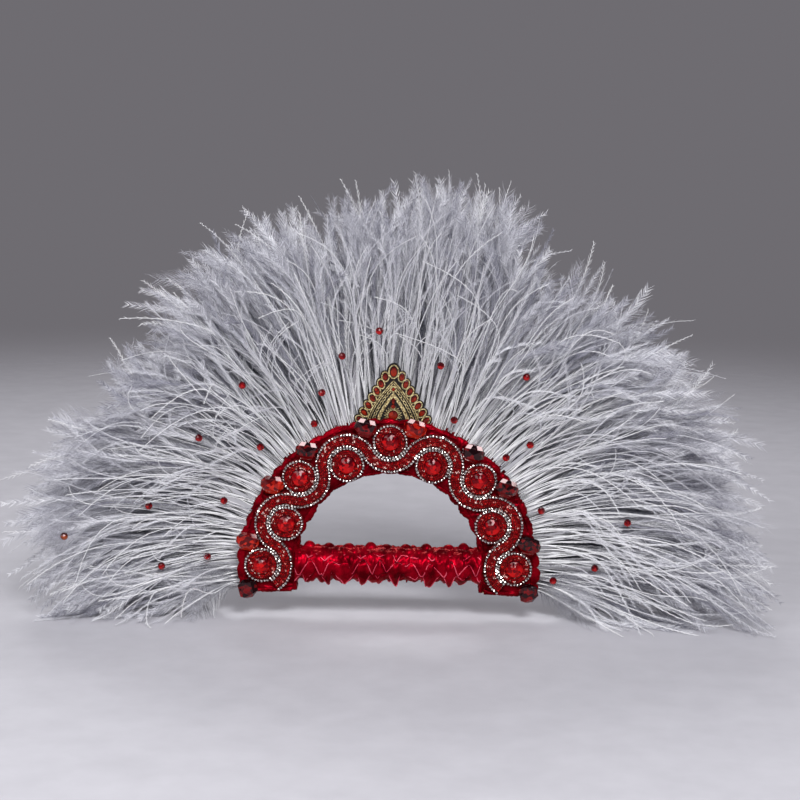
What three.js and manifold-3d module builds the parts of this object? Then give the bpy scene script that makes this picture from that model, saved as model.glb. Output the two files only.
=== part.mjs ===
// Feather hand fan: a D-shaped frame of two arch boards and a grip bar, dressed with beaded trim,
// with two layers of ostrich fringe standing out of the slot between the boards.
// Millimetres, +Z up. The origin is the middle of the grip bar, which lies along X; the front faces -Y.
import * as THREE from "three";
import { mergeVertices } from "three/addons/utils/BufferGeometryUtils.js";
import Module from "manifold-3d";

const wasm = await Module();
wasm.setup();

// Gap between pieces that rest on or fit into each other
const CLEARANCE = 0.3;

// Arch boards and their satin facings
const ARCH_INNER_RADIUS = 62.5;
const ARCH_OUTER_RADIUS = 94.7;
const FOOT_DEPTH = 17;
const BOARD_THICKNESS = 3;
const FACING_THICKNESS = 0.8;
const ARCH_SEGMENTS = 20;

// Ruched ribbon round the rim of each board
const EDGING_HEIGHT = 4.5;
const EDGING_RUFFLE_DEPTH = 0.8;
const EDGING_PLEATS = 44;
const RIM_GAP = 1;

// Grip bar: a dowel with a flat tongue at each end, inside a ruched ribbon sleeve
const DOWEL_DIAMETER = 18;
const DOWEL_SEGMENTS = 24;
const TONGUE_HEIGHT = 14;
const SLEEVE_THICKNESS = 1.7;
const SLEEVE_RUFFLE_DEPTH = 0.7;
const SLEEVE_FRILL_HEIGHT = 0.9;
const SLEEVE_PLEATS = 12;
const SLEEVE_SIDES = 14;

// Beaded trim: nine medallions in a zigzag with a serpentine band between them
const MEDALLION_COUNT = 9;
const MEDALLION_RADIUS = 11.7;
const TRIM_MARGIN_WIDTH = 0.3;
const TRIM_OVERHANG_WIDTH = 1.5;
const CHAIN_WIDTH = 2.2;
const CHAIN_HEIGHT = 1.9;
const ROW_CONTACT_WIDTH = 0.6;
const BACKING_THICKNESS = 0.9;
const BEAD_HEIGHT = 1.5;
const ARC_STEPS = 6;
const RING_SEGMENTS = 8;

// Glass stones
const STONE_RADIUS = 5.3;
const STONE_HEIGHT = 3.6;
const CRYSTAL_RADIUS = 6.3;
const CRYSTAL_HEIGHT = 5.2;
const STONE_FACETS = 8;

// Brocade patch behind the top of the arch, with a jewelled motif at its middle
const PATCH_THICKNESS = 1;
const PATCH_TUCK_LENGTH = 9;
const PATCH_HEIGHT = 36;
const PATCH_HALF_WIDTH = 22.5;
const PATCH_LOBES = 8;
const PATCH_LOBE_DEPTH = 1.1;
const PATCH_SLOPE = 0.22;
const JEWEL_RADIUS = 3.4;
const JEWEL_HEIGHT = 2.2;
const JEWEL_SEAT_HEIGHT = 16;

// Bead pins: a faceted bead on a wire stem, each given by its angle and the share of the plumes' length
// that it reaches beyond the rim
const WIRE_DIAMETER = 0.9;
const WIRE_TUCK_LENGTH = 7;
const PIN_BEAD_RADIUS = 2.6;
const BEAD_FACETS = 6;
const PIN_STANDOFF_DEPTH = 1.5;
const PINS = [
  [-4.4, 0.055], [0.6, 0.23], [12, 0.385], [21, 0.04], [42, 0.145], [44, 0.03], [55.6, 0.355],
  [67, 0.033], [76.6, 0.24], [93, 0.365], [103, 0.275], [111.5, 0.145], [118, 0.033], [129, 0.345],
  [137.5, 0.093], [146, 0.325], [159, 0.1], [166, 0.4], [174, 0.72], [178, 0.12], [180.5, 0.315],
];

// Feather fringe: header tapes in the slot between the boards, with tapered plume blades fused to them
const TAPE_THICKNESS = 1.2;
const TAPE_WIDTH = 16;
const TAPE_INSET_WIDTH = 1.5;
const FRINGE_SECTORS = 4;
const FRINGE_END_ANGLE = 10;
const SECTOR_GAP = 0.5;
const BLADES_PER_SECTOR = 18;
const BLADE_ROOT_WIDTH = 1.5;
const BLADE_WIDTH = 8.8;
const BLADE_THICKNESS = 1;
const BLADE_STATIONS = [0, 0.22, 0.48, 0.76];
const BLADE_LENGTH = 150;
const SPREAD_SHARE = 0.06;
const END_SHORTENING = 0.16;
const DROOP = 0.36;
const DROOP_RAMP = 0.6;
const LEAN_EXPONENT = 1.7;
const FRONT_LEAN_DEPTH = 38;
const BACK_LEAN_DEPTH = 34;
const INNER_ROW_SHARE = 0.4;

// Colours
const SATIN_RED = 0xb01222;
const BEAD_RED = 0x96101c;
const GLASS_RED = 0x8c0a18;
const SILVER = 0xd2d4d8;
const GOLD = 0xc2ab6a;
const FEATHER_GREY = 0xc4c4cf;
const BOARD_BROWN = 0x8d6b48;
const WOOD = 0xb58d5d;

// Layers across the thickness, from the slot outwards
const SLOT = 2 * TAPE_THICKNESS + WIRE_DIAMETER + PATCH_THICKNESS + 5 * CLEARANCE;
const BACK_TAPE_Y = SLOT / 2 - CLEARANCE - TAPE_THICKNESS / 2;
const FRONT_TAPE_Y = BACK_TAPE_Y - TAPE_THICKNESS - CLEARANCE;
const WIRE_Y = FRONT_TAPE_Y - (TAPE_THICKNESS + WIRE_DIAMETER) / 2 - CLEARANCE;
const PATCH_Y = WIRE_Y - (WIRE_DIAMETER + PATCH_THICKNESS) / 2 - CLEARANCE;
const FACING_DEPTH = SLOT / 2 + BOARD_THICKNESS + CLEARANCE;
const FACE_DEPTH = FACING_DEPTH + FACING_THICKNESS;
const TRIM_Y = -FACE_DEPTH - CLEARANCE;
const TRIM_FRONT_Y = TRIM_Y - BACKING_THICKNESS;

// Places that several pieces share
const EDGING_RADIUS = ARCH_OUTER_RADIUS + CLEARANCE;
const RIM_RADIUS = EDGING_RADIUS + EDGING_HEIGHT + RIM_GAP;
const TAPE_OUTER_RADIUS = ARCH_OUTER_RADIUS - TAPE_INSET_WIDTH;
const TAPE_INNER_RADIUS = TAPE_OUTER_RADIUS - TAPE_WIDTH;
const SLEEVE_BORE_RADIUS = DOWEL_DIAMETER / 2 + CLEARANCE;
const SLEEVE_RADIUS = SLEEVE_BORE_RADIUS + SLEEVE_THICKNESS;
const SLEEVE_REACH = SLEEVE_RADIUS + SLEEVE_RUFFLE_DEPTH + SLEEVE_FRILL_HEIGHT;

const radians = THREE.MathUtils.degToRad;
const smooth = THREE.MathUtils.smoothstep;
const fan = new THREE.Group();

function piece(name, geometry, color, roughness, metalness = 0) {
  const material = new THREE.MeshStandardMaterial({ color, roughness, metalness, flatShading: true });
  const mesh = new THREE.Mesh(geometry, material);
  mesh.name = name;
  fan.add(mesh);
  return mesh;
}

// A closed three.js geometry as a solid for joining
function solid(geometry) {
  const bare = geometry.index ? geometry.clone() : geometry;
  bare.deleteAttribute("normal");
  bare.deleteAttribute("uv");
  const merged = mergeVertices(bare, 1e-4);
  return new wasm.Manifold(
    new wasm.Mesh({
      numProp: 3,
      vertProperties: new Float32Array(merged.attributes.position.array),
      triVerts: new Uint32Array(merged.index.array),
    }),
  );
}

function joined(geometries) {
  const mesh = geometries
    .map(solid)
    .reduce((whole, part) => whole.add(part))
    .getMesh();
  const geometry = new THREE.BufferGeometry();
  geometry.setAttribute("position", new THREE.BufferAttribute(mesh.vertProperties, 3));
  geometry.setIndex(new THREE.BufferAttribute(mesh.triVerts, 1));
  return geometry;
}

function signedVolume(points, triangles) {
  const cross = new THREE.Vector3();
  let volume = 0;
  for (const [a, b, c] of triangles) {
    volume += points[a].dot(cross.crossVectors(points[b], points[c]));
  }
  return volume;
}

// Skin over rings of points: ends are capped, drawn to a tip point, or joined in a loop
function loft(rings, { loop = false, tip = null } = {}) {
  const sides = rings[0].length;
  const points = rings.flat();
  const triangles = [];
  const spans = loop ? rings.length : rings.length - 1;
  for (let ring = 0; ring < spans; ring += 1) {
    const next = (ring + 1) % rings.length;
    for (let side = 0; side < sides; side += 1) {
      const [a, b] = [ring * sides + side, ring * sides + ((side + 1) % sides)];
      const [c, d] = [next * sides + side, next * sides + ((side + 1) % sides)];
      triangles.push([a, b, d], [a, d, c]);
    }
  }
  const last = (rings.length - 1) * sides;
  if (tip) {
    points.push(tip);
  }
  for (let side = 1; side < sides - 1 && !loop; side += 1) {
    triangles.push([0, side + 1, side]);
    if (!tip) {
      triangles.push([last, last + side, last + side + 1]);
    }
  }
  for (let side = 0; side < sides && tip; side += 1) {
    triangles.push([last + side, last + ((side + 1) % sides), points.length - 1]);
  }
  if (signedVolume(points, triangles) < 0) {
    triangles.forEach((triangle) => triangle.reverse());
  }
  const geometry = new THREE.BufferGeometry().setFromPoints(points);
  geometry.setIndex(triangles.flat());
  return geometry;
}

// A flat outline in X and Z made into a plate that runs from backY towards the front
function plate(shape, backY, thickness, curveSegments = ARCH_SEGMENTS) {
  const geometry = new THREE.ExtrudeGeometry(shape, {
    depth: thickness,
    bevelEnabled: false,
    curveSegments,
  });
  return geometry.rotateX(Math.PI / 2).translate(0, backY, 0);
}

function polar(radius, angle, y = 0) {
  return new THREE.Vector3(radius * Math.cos(angle), y, radius * Math.sin(angle));
}

// Half ring with flat feet, shared by the boards and their facings
function archShape() {
  const outerEnd = Math.asin(FOOT_DEPTH / ARCH_OUTER_RADIUS);
  const innerEnd = Math.asin(FOOT_DEPTH / ARCH_INNER_RADIUS);
  const shape = new THREE.Shape();
  shape.absarc(0, 0, ARCH_OUTER_RADIUS, -outerEnd, Math.PI + outerEnd, false);
  shape.absarc(0, 0, ARCH_INNER_RADIUS, Math.PI + innerEnd, -innerEnd, true);
  return shape;
}

function buildBoards() {
  const shape = archShape();
  const boardBack = SLOT / 2 + BOARD_THICKNESS;
  piece("front_board", plate(shape, -SLOT / 2, BOARD_THICKNESS), BOARD_BROWN, 0.8);
  piece("back_board", plate(shape, boardBack, BOARD_THICKNESS), BOARD_BROWN, 0.8);
  piece("front_facing", plate(shape, -FACING_DEPTH, FACING_THICKNESS), SATIN_RED, 0.5);
  piece("back_facing", plate(shape, FACE_DEPTH, FACING_THICKNESS), SATIN_RED, 0.5);
}

// Gathered ribbon against a board's edge; its outer side swells and dips once for each pleat
function edging(side) {
  const end = Math.asin(FOOT_DEPTH / EDGING_RADIUS);
  const steps = 2 * EDGING_PLEATS;
  const near = (side * SLOT) / 2;
  const far = side * FACE_DEPTH;
  const rings = [];
  for (let step = 0; step <= steps; step += 1) {
    const angle = -end + ((Math.PI + 2 * end) * step) / steps;
    const crest = step % 2 ? 0 : EDGING_RUFFLE_DEPTH;
    const shoulder = EDGING_RADIUS + EDGING_HEIGHT - 2 * EDGING_RUFFLE_DEPTH;
    rings.push([
      polar(EDGING_RADIUS, angle, near),
      polar(shoulder - crest, angle, near),
      polar(shoulder + EDGING_RUFFLE_DEPTH + crest, angle, (near + far) / 2),
      polar(shoulder - crest, angle, far),
      polar(EDGING_RADIUS, angle, far),
    ]);
  }
  return loft(rings);
}

function buildEdgings() {
  piece("front_edging", edging(-1), SATIN_RED, 0.45);
  piece("back_edging", edging(1), SATIN_RED, 0.45);
}

// Medallion centres zigzag between the arch's two edges, and the band fills the space between neighbours
const MEDALLION_PITCH = Math.PI / (MEDALLION_COUNT - 1);
const OUTER_CENTRE_RADIUS = ARCH_OUTER_RADIUS - TRIM_MARGIN_WIDTH - MEDALLION_RADIUS;
const INNER_CENTRE_RADIUS = ARCH_INNER_RADIUS - TRIM_OVERHANG_WIDTH + MEDALLION_RADIUS;
const WAVE_RADIUS = medallionCentre(0).distanceTo(medallionCentre(1)) / 2;
const BAND_WIDTH = 2 * (WAVE_RADIUS - MEDALLION_RADIUS + ROW_CONTACT_WIDTH);

// The band's ends sweep round the last medallions until its outer corner is level with the feet
const BAND_END_SWEEP = Math.asin(Math.min(FOOT_DEPTH / (WAVE_RADIUS + BAND_WIDTH / 2), 1));

function medallionCentre(index) {
  return polar(index % 2 ? INNER_CENTRE_RADIUS : OUTER_CENTRE_RADIUS, index * MEDALLION_PITCH);
}

function bearing(from, to) {
  return Math.atan2(to.z - from.z, to.x - from.x);
}

function wrapped(angle) {
  return THREE.MathUtils.euclideanModulo(angle + Math.PI, 2 * Math.PI) - Math.PI;
}

// The serpentine is a chain of tangent arcs, one round each medallion: inside the outer ones
// and outside the inner ones. A shift moves the line sideways, away from the arch's centre.
function serpentine(shift) {
  const points = [];
  for (let index = 0; index < MEDALLION_COUNT; index += 1) {
    const centre = medallionCentre(index);
    const outward = index % 2 ? 0 : Math.PI;
    const pass = index * MEDALLION_PITCH + outward;
    const first = index === 0;
    const last = index === MEDALLION_COUNT - 1;
    const from = first ? BAND_END_SWEEP : wrapped(bearing(centre, medallionCentre(index - 1)) - pass);
    const to = last ? -BAND_END_SWEEP : wrapped(bearing(centre, medallionCentre(index + 1)) - pass);
    const radius = WAVE_RADIUS + (index % 2 ? shift : -shift);
    for (let step = first ? 0 : 1; step <= ARC_STEPS; step += 1) {
      const angle = pass + from + ((to - from) * step) / ARC_STEPS;
      points.push(new THREE.Vector2(
        centre.x + radius * Math.cos(angle),
        centre.z + radius * Math.sin(angle),
      ));
    }
  }
  return points;
}

function strip(shift, width) {
  const inner = serpentine(shift - width / 2);
  const outer = serpentine(shift + width / 2).reverse();
  return new THREE.Shape([...inner, ...outer]);
}

function disc(centre, outerRadius, innerRadius = 0) {
  const shape = new THREE.Shape();
  shape.absarc(centre.x, centre.z, outerRadius, 0, 2 * Math.PI, false);
  if (innerRadius > 0) {
    const hole = new THREE.Path();
    hole.absarc(centre.x, centre.z, innerRadius, 0, 2 * Math.PI, true);
    shape.holes.push(hole);
  }
  return shape;
}

// Felt backing with the red seed-bead band and the bead ring of each medallion raised on it
function beadEmbroidery() {
  const beadWidth = BAND_WIDTH - 2 * CHAIN_WIDTH - 2 * CLEARANCE;
  const ringOuter = MEDALLION_RADIUS - CHAIN_WIDTH - CLEARANCE;
  const ringInner = STONE_RADIUS + CLEARANCE;
  const raised = BACKING_THICKNESS + BEAD_HEIGHT;
  const parts = [
    plate(strip(0, BAND_WIDTH), TRIM_Y, BACKING_THICKNESS),
    plate(strip(0, beadWidth), TRIM_Y, raised),
  ];
  for (let index = 0; index < MEDALLION_COUNT; index += 1) {
    const centre = medallionCentre(index);
    parts.push(plate(disc(centre, MEDALLION_RADIUS), TRIM_Y, BACKING_THICKNESS, RING_SEGMENTS));
    parts.push(plate(disc(centre, ringOuter, ringInner), TRIM_Y, raised, RING_SEGMENTS));
  }
  return joined(parts);
}

// Silver row along one edge of the band, touching the ring of every second medallion
function rhinestoneRow(firstMedallion) {
  const backY = TRIM_FRONT_Y - CLEARANCE;
  const rowShift = (BAND_WIDTH - CHAIN_WIDTH) / 2;
  const shift = firstMedallion % 2 ? -rowShift : rowShift;
  const parts = [plate(strip(shift, CHAIN_WIDTH), backY, CHAIN_HEIGHT)];
  for (let index = firstMedallion; index < MEDALLION_COUNT; index += 2) {
    const ring = disc(medallionCentre(index), MEDALLION_RADIUS, MEDALLION_RADIUS - CHAIN_WIDTH);
    parts.push(plate(ring, backY, CHAIN_HEIGHT, RING_SEGMENTS));
  }
  return joined(parts);
}

// A cut stone with a flat back, a girdle, a facetted crown and a flat table
function cutStone(radius, height, facets) {
  const profile = [
    new THREE.Vector2(0, 0),
    new THREE.Vector2(0.86 * radius, 0),
    new THREE.Vector2(radius, 0.3 * height),
    new THREE.Vector2(0.8 * radius, 0.74 * height),
    new THREE.Vector2(0.46 * radius, height),
    new THREE.Vector2(0, height),
  ];
  return new THREE.LatheGeometry(profile, facets);
}

function placeStone(name, geometry, centre, backY) {
  const stone = piece(name, geometry, GLASS_RED, 0.08);
  stone.position.set(centre.x, backY, centre.z);
  stone.rotation.x = Math.PI;
  return stone;
}

// A rim crystal nests against an outer medallion and the band's next bend
function crystalCentre(index, side) {
  const outer = medallionCentre(index);
  const inner = medallionCentre(index + 1);
  const toOuter = MEDALLION_RADIUS + CRYSTAL_RADIUS + CLEARANCE;
  const toInner = WAVE_RADIUS + BAND_WIDTH / 2 + CRYSTAL_RADIUS + CLEARANCE;
  const along = outer.clone().sub(inner).negate();
  const distance = along.length();
  along.normalize();
  const reach = (toOuter ** 2 - toInner ** 2 + distance ** 2) / (2 * distance);
  const height = Math.sqrt(toOuter ** 2 - reach ** 2);
  const across = new THREE.Vector3(along.z, 0, -along.x);
  const centre = outer.clone().addScaledVector(along, reach).addScaledVector(across, height);
  const turn = bearing(new THREE.Vector3(), centre) - index * MEDALLION_PITCH;
  return polar(centre.length(), index * MEDALLION_PITCH + side * turn);
}

function buildTrim() {
  piece("bead_embroidery", beadEmbroidery(), BEAD_RED, 0.4);
  piece("rhinestone_row_outer", rhinestoneRow(0), SILVER, 0.2, 0.8);
  piece("rhinestone_row_inner", rhinestoneRow(1), SILVER, 0.2, 0.8);
  let crystal = 1;
  for (let index = 0; index < MEDALLION_COUNT; index += 1) {
    const stone = cutStone(STONE_RADIUS, STONE_HEIGHT, STONE_FACETS);
    const stoneBack = TRIM_FRONT_Y - CLEARANCE;
    placeStone(`medallion_stone_${index + 1}`, stone, medallionCentre(index), stoneBack);
    for (const side of index % 2 ? [] : [-1, 1]) {
      const cut = cutStone(CRYSTAL_RADIUS, CRYSTAL_HEIGHT, STONE_FACETS);
      placeStone(`rim_crystal_${crystal}`, cut, crystalCentre(index, side), TRIM_Y);
      crystal += 1;
    }
  }
}

// Dowel between the arch's legs; its tongues reach into the slot as far as the header tapes
function buildHandle() {
  const bandEdge = OUTER_CENTRE_RADIUS - WAVE_RADIUS - BAND_WIDTH / 2;
  const legs = Math.sqrt(ARCH_INNER_RADIUS ** 2 - SLEEVE_REACH ** 2);
  const barEnd = Math.min(legs, bandEdge) - CLEARANCE;
  const tongueEnd = Math.sqrt((TAPE_INNER_RADIUS - CLEARANCE) ** 2 - (TONGUE_HEIGHT / 2) ** 2);
  const bar = new THREE.CylinderGeometry(
    DOWEL_DIAMETER / 2,
    DOWEL_DIAMETER / 2,
    2 * barEnd,
    DOWEL_SEGMENTS,
  );
  const tongue = new THREE.BoxGeometry(2 * tongueEnd, SLOT - 2 * CLEARANCE, TONGUE_HEIGHT);
  piece("handle_dowel", joined([bar.rotateZ(Math.PI / 2), tongue]), WOOD, 0.6);
  piece("handle_ribbon", ribbonSleeve(barEnd), SATIN_RED, 0.45);
}

// Ruched sleeve: slanting gathers meet in a V on the front and back, with frilled edges above and below
function ribbonSleeve(reach) {
  const steps = 4 * SLEEVE_PLEATS;
  const ring = (x, radiusAt) => {
    const points = [];
    for (let side = 0; side < SLEEVE_SIDES; side += 1) {
      const turn = (2 * Math.PI * side) / SLEEVE_SIDES;
      const radius = radiusAt(turn);
      points.push(new THREE.Vector3(x, radius * Math.cos(turn), radius * Math.sin(turn)));
    }
    return points;
  };
  const rings = [];
  for (let step = 0; step <= steps; step += 1) {
    const x = reach * ((2 * step) / steps - 1);
    rings.push(ring(x, (turn) => {
      const edge = Math.abs(Math.sin(turn));
      const gather = Math.cos((Math.PI * step) / 2 + Math.PI * edge);
      const frill = (SLEEVE_FRILL_HEIGHT * (1 + gather) * edge ** 8) / 2;
      return SLEEVE_RADIUS + SLEEVE_RUFFLE_DEPTH * gather + frill;
    }));
  }
  rings.push(ring(reach, () => SLEEVE_BORE_RADIUS));
  rings.push(ring(-reach, () => SLEEVE_BORE_RADIUS));
  return loft(rings, { loop: true });
}

// 0 at the feet of the arch, rising to 1 where the plumes have their full length and droop
function footRise(angle) {
  const foot = radians(FRINGE_END_ANGLE);
  return smooth(Math.min(angle + foot, Math.PI + foot - angle), 0, DROOP_RAMP);
}

function bladeLength(angle) {
  return BLADE_LENGTH * (1 - END_SHORTENING * (1 - footRise(angle)));
}

// Patch with scalloped sides, tucked into the slot and leaning forward above the rim
function brocadePatch() {
  const base = ARCH_OUTER_RADIUS - PATCH_TUCK_LENGTH;
  const apex = RIM_RADIUS + PATCH_HEIGHT;
  const stepsPerLobe = 4;
  const steps = PATCH_LOBES * stepsPerLobe;
  const rings = [];
  const slice = (z, halfWidth) => {
    const y = PATCH_Y - PATCH_SLOPE * Math.max(z - RIM_RADIUS, 0);
    const half = PATCH_THICKNESS / 2;
    return [
      new THREE.Vector3(-halfWidth, y + half, z),
      new THREE.Vector3(halfWidth, y + half, z),
      new THREE.Vector3(halfWidth, y - half, z),
      new THREE.Vector3(-halfWidth, y - half, z),
    ];
  };
  rings.push(slice(base, PATCH_HALF_WIDTH));
  for (let step = 0; step < steps; step += 1) {
    const share = step / steps;
    const lobe = Math.abs(Math.sin((Math.PI * step) / stepsPerLobe));
    const halfWidth = PATCH_HALF_WIDTH * (1 - share ** 1.25) + PATCH_LOBE_DEPTH * lobe;
    rings.push(slice(RIM_RADIUS + share * PATCH_HEIGHT, halfWidth));
  }
  const tip = new THREE.Vector3(0, PATCH_Y - PATCH_SLOPE * PATCH_HEIGHT, apex);
  return loft(rings, { tip });
}

// The jewelled motif at the patch's middle, leaning with it
function patchMotif() {
  const slope = Math.atan(PATCH_SLOPE);
  const motif = cutStone(JEWEL_RADIUS, JEWEL_HEIGHT, STONE_FACETS).rotateX(Math.PI - slope);
  return motif.translate(0, PATCH_Y - PATCH_SLOPE * JEWEL_SEAT_HEIGHT, RIM_RADIUS + JEWEL_SEAT_HEIGHT);
}

function buildPatch() {
  piece("brocade_patch", joined([brocadePatch(), patchMotif()]), GOLD, 0.5, 0.3);
}

// Wire stem from the slot to a bead that stands clear in front of the plumes
function beadPin(angle, plumeShare) {
  const reach = plumeShare * BLADE_LENGTH;
  const radius = RIM_RADIUS + reach;
  const clear = BLADE_THICKNESS / 2 + PIN_BEAD_RADIUS + PIN_STANDOFF_DEPTH;
  const share = reach / (bladeLength(angle) * (1 - SPREAD_SHARE));
  const beadY = FRONT_TAPE_Y - FRONT_LEAN_DEPTH * share ** LEAN_EXPONENT - clear;
  const half = WIRE_DIAMETER / 2;
  const across = polar(half, angle + Math.PI / 2);
  const section = (at) => [
    at.clone().add(across),
    at.clone().add(new THREE.Vector3(0, half, 0)),
    at.clone().sub(across),
    at.clone().sub(new THREE.Vector3(0, half, 0)),
  ];
  const wire = loft([
    section(polar(ARCH_OUTER_RADIUS - WIRE_TUCK_LENGTH, angle, WIRE_Y)),
    section(polar(RIM_RADIUS, angle, WIRE_Y)),
    section(polar(radius, angle, beadY)),
  ]);
  const bead = new THREE.SphereGeometry(PIN_BEAD_RADIUS, BEAD_FACETS, 4);
  return joined([wire, bead.translate(...polar(radius, angle, beadY).toArray())]);
}

function buildPins() {
  PINS.forEach(([angle, plumeShare], index) => {
    piece(`bead_pin_${index + 1}`, beadPin(radians(angle), plumeShare), GLASS_RED, 0.15);
  });
}

// Even spread of lengths without random numbers, from -1 to 1
function spread(index) {
  return 2 * ((index * 0.618034) % 1) - 1;
}

// One plume blade: rooted in the tape, widest past its middle, drooping at the sides and leaning out
function plumeBlade(angle, tapeY, leanReach, index) {
  const length = bladeLength(angle) * (1 + SPREAD_SHARE * spread(index));
  const droop = DROOP * length * Math.abs(Math.cos(angle)) * footRise(angle);
  const across = polar(1, angle + Math.PI / 2);
  const ridge = new THREE.Vector3(0, Math.sign(leanReach) * BLADE_THICKNESS, 0);
  const at = (share) => {
    const point = polar(RIM_RADIUS + share * length, angle, tapeY + leanReach * share ** LEAN_EXPONENT);
    point.z -= droop * share ** 2;
    return point.addScaledVector(ridge, -0.5);
  };
  const section = (back, width) => [
    back.clone().addScaledVector(across, width / 2),
    back.clone().add(ridge),
    back.clone().addScaledVector(across, -width / 2),
  ];
  const root = polar(TAPE_OUTER_RADIUS - TAPE_WIDTH / 3, angle, tapeY).addScaledVector(ridge, -0.5);
  const rings = [section(root, BLADE_ROOT_WIDTH)];
  for (const share of BLADE_STATIONS) {
    const swell = smooth(share, 0, 0.5) * (1 - smooth(share, 0.7, 1.3));
    rings.push(section(at(share), BLADE_ROOT_WIDTH + (BLADE_WIDTH - BLADE_ROOT_WIDTH) * swell));
  }
  return loft(rings, { tip: at(1) });
}

function fringeSector(sector, tapeY, leanReach) {
  const end = radians(FRINGE_END_ANGLE);
  const sweep = (Math.PI + 2 * end) / FRINGE_SECTORS;
  const start = -end + sector * sweep;
  const gap = SECTOR_GAP / TAPE_OUTER_RADIUS;
  const tape = new THREE.Shape();
  tape.absarc(0, 0, TAPE_OUTER_RADIUS, start + gap / 2, start + sweep - gap / 2, false);
  tape.absarc(0, 0, TAPE_INNER_RADIUS, start + sweep - gap / 2, start + gap / 2, true);
  const parts = [plate(tape, tapeY + TAPE_THICKNESS / 2, TAPE_THICKNESS, ARCH_SEGMENTS / FRINGE_SECTORS)];
  for (let blade = 0; blade < BLADES_PER_SECTOR; blade += 1) {
    const angle = start + (sweep * (blade + 0.5)) / BLADES_PER_SECTOR;
    const share = blade % 2 ? INNER_ROW_SHARE : 1;
    parts.push(plumeBlade(angle, tapeY, share * leanReach, sector * BLADES_PER_SECTOR + blade));
  }
  return joined(parts);
}

function buildFringe() {
  for (let sector = 0; sector < FRINGE_SECTORS; sector += 1) {
    const front = fringeSector(sector, FRONT_TAPE_Y, -FRONT_LEAN_DEPTH);
    const back = fringeSector(sector, BACK_TAPE_Y, BACK_LEAN_DEPTH);
    piece(`front_fringe_${sector + 1}`, front, FEATHER_GREY, 0.9);
    piece(`back_fringe_${sector + 1}`, back, FEATHER_GREY, 0.9);
  }
}

buildBoards();
buildEdgings();
buildHandle();
buildTrim();
buildPatch();
buildPins();
buildFringe();

export default fan;
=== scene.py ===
# Feather hand fan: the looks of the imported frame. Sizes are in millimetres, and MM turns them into
# metres.
import math

import bpy
import numpy as np
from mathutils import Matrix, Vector


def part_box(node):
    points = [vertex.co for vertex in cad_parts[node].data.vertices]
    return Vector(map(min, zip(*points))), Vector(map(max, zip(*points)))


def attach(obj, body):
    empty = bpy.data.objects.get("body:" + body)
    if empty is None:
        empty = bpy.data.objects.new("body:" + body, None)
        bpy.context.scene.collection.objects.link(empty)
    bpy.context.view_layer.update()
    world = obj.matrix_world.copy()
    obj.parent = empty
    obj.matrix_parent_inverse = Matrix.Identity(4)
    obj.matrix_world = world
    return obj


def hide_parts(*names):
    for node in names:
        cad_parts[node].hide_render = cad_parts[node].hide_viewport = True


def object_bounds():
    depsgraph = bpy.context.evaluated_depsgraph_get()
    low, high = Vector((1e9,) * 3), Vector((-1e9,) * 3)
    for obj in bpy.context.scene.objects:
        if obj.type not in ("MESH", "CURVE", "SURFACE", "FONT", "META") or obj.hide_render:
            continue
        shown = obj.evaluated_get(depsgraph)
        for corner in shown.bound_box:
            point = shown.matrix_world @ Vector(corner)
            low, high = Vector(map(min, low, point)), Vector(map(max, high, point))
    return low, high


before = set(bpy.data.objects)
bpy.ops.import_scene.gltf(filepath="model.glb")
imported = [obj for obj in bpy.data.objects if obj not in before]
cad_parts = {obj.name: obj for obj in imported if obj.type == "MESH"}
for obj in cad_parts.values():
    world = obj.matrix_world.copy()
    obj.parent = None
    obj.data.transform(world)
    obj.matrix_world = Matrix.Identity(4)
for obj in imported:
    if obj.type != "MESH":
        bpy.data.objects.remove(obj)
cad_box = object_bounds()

MM = 0.001
UV_NAME = "OFBake"


def node_points(node):
    """A CAD node's vertices, in millimetres."""
    return np.array([v.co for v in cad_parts[node].data.vertices]) / MM


def node_box(node):
    low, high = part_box(node)
    return np.array(low) / MM, np.array(high) / MM


# Sizes read from the frame
BOARD_LOW, BOARD_HIGH = node_box("front_board")
ARCH_OUTER_RADIUS = BOARD_HIGH[2]
FOOT_DEPTH = -BOARD_LOW[2]
RIM_CLEARANCE = 1
RIM_RADIUS = node_box("front_edging")[1][2] + RIM_CLEARANCE
FLOOR_GAP = 0.6
FLOOR_Z = cad_box[0][2] / MM - FLOOR_GAP
FACE_Y = node_box("front_facing")[0][1]
TRIM_Y = node_box("bead_embroidery")[1][1]
SLEEVE_HALF_LENGTH = node_box("handle_ribbon")[1][0]
DOWEL_RADIUS = node_box("handle_dowel")[1][2]
PATCH_FOOT_Z = node_box("brocade_patch")[0][2]

# Sizes shared with the frame's solids, which its boxes don't give
ARCH_INNER_RADIUS = 62.5
MEDALLION_COUNT = 9
MEDALLION_RADIUS = 11.7
CHAIN_WIDTH = 2.2
ROW_CONTACT = 0.6
PIN_COUNT = 21
PIN_BEAD_RADIUS = 2.6
WIRE_TUCK = 7
WIRE_Y = -0.85
PATCH_Y = -2.1
PATCH_SLOPE = 0.22
FRINGE_SECTORS = 4
FRINGE_END_ANGLE = math.radians(10)


def pin_bead_centre(node):
    points = node_points(node)
    return points[points[:, 1].argmin()] + (0, PIN_BEAD_RADIUS, 0)


PIN_BEADS = np.array([pin_bead_centre(f"bead_pin_{index + 1}") for index in range(PIN_COUNT)])


def smoothstep(value, low, high):
    share = np.clip((value - low) / (high - low), 0, 1)
    return share * share * (3 - 2 * share)


def unit(vectors):
    return vectors / np.maximum(np.linalg.norm(vectors, axis=-1, keepdims=True), 1e-9)


def polar(radius, angle, y=0.0):
    radius, angle, y = np.broadcast_arrays(radius, angle, y)
    return np.stack([radius * np.cos(angle), y, radius * np.sin(angle)], axis=-1)


# Meshes
OFF_AXIS = (0.02, 1, 0.03)


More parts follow.
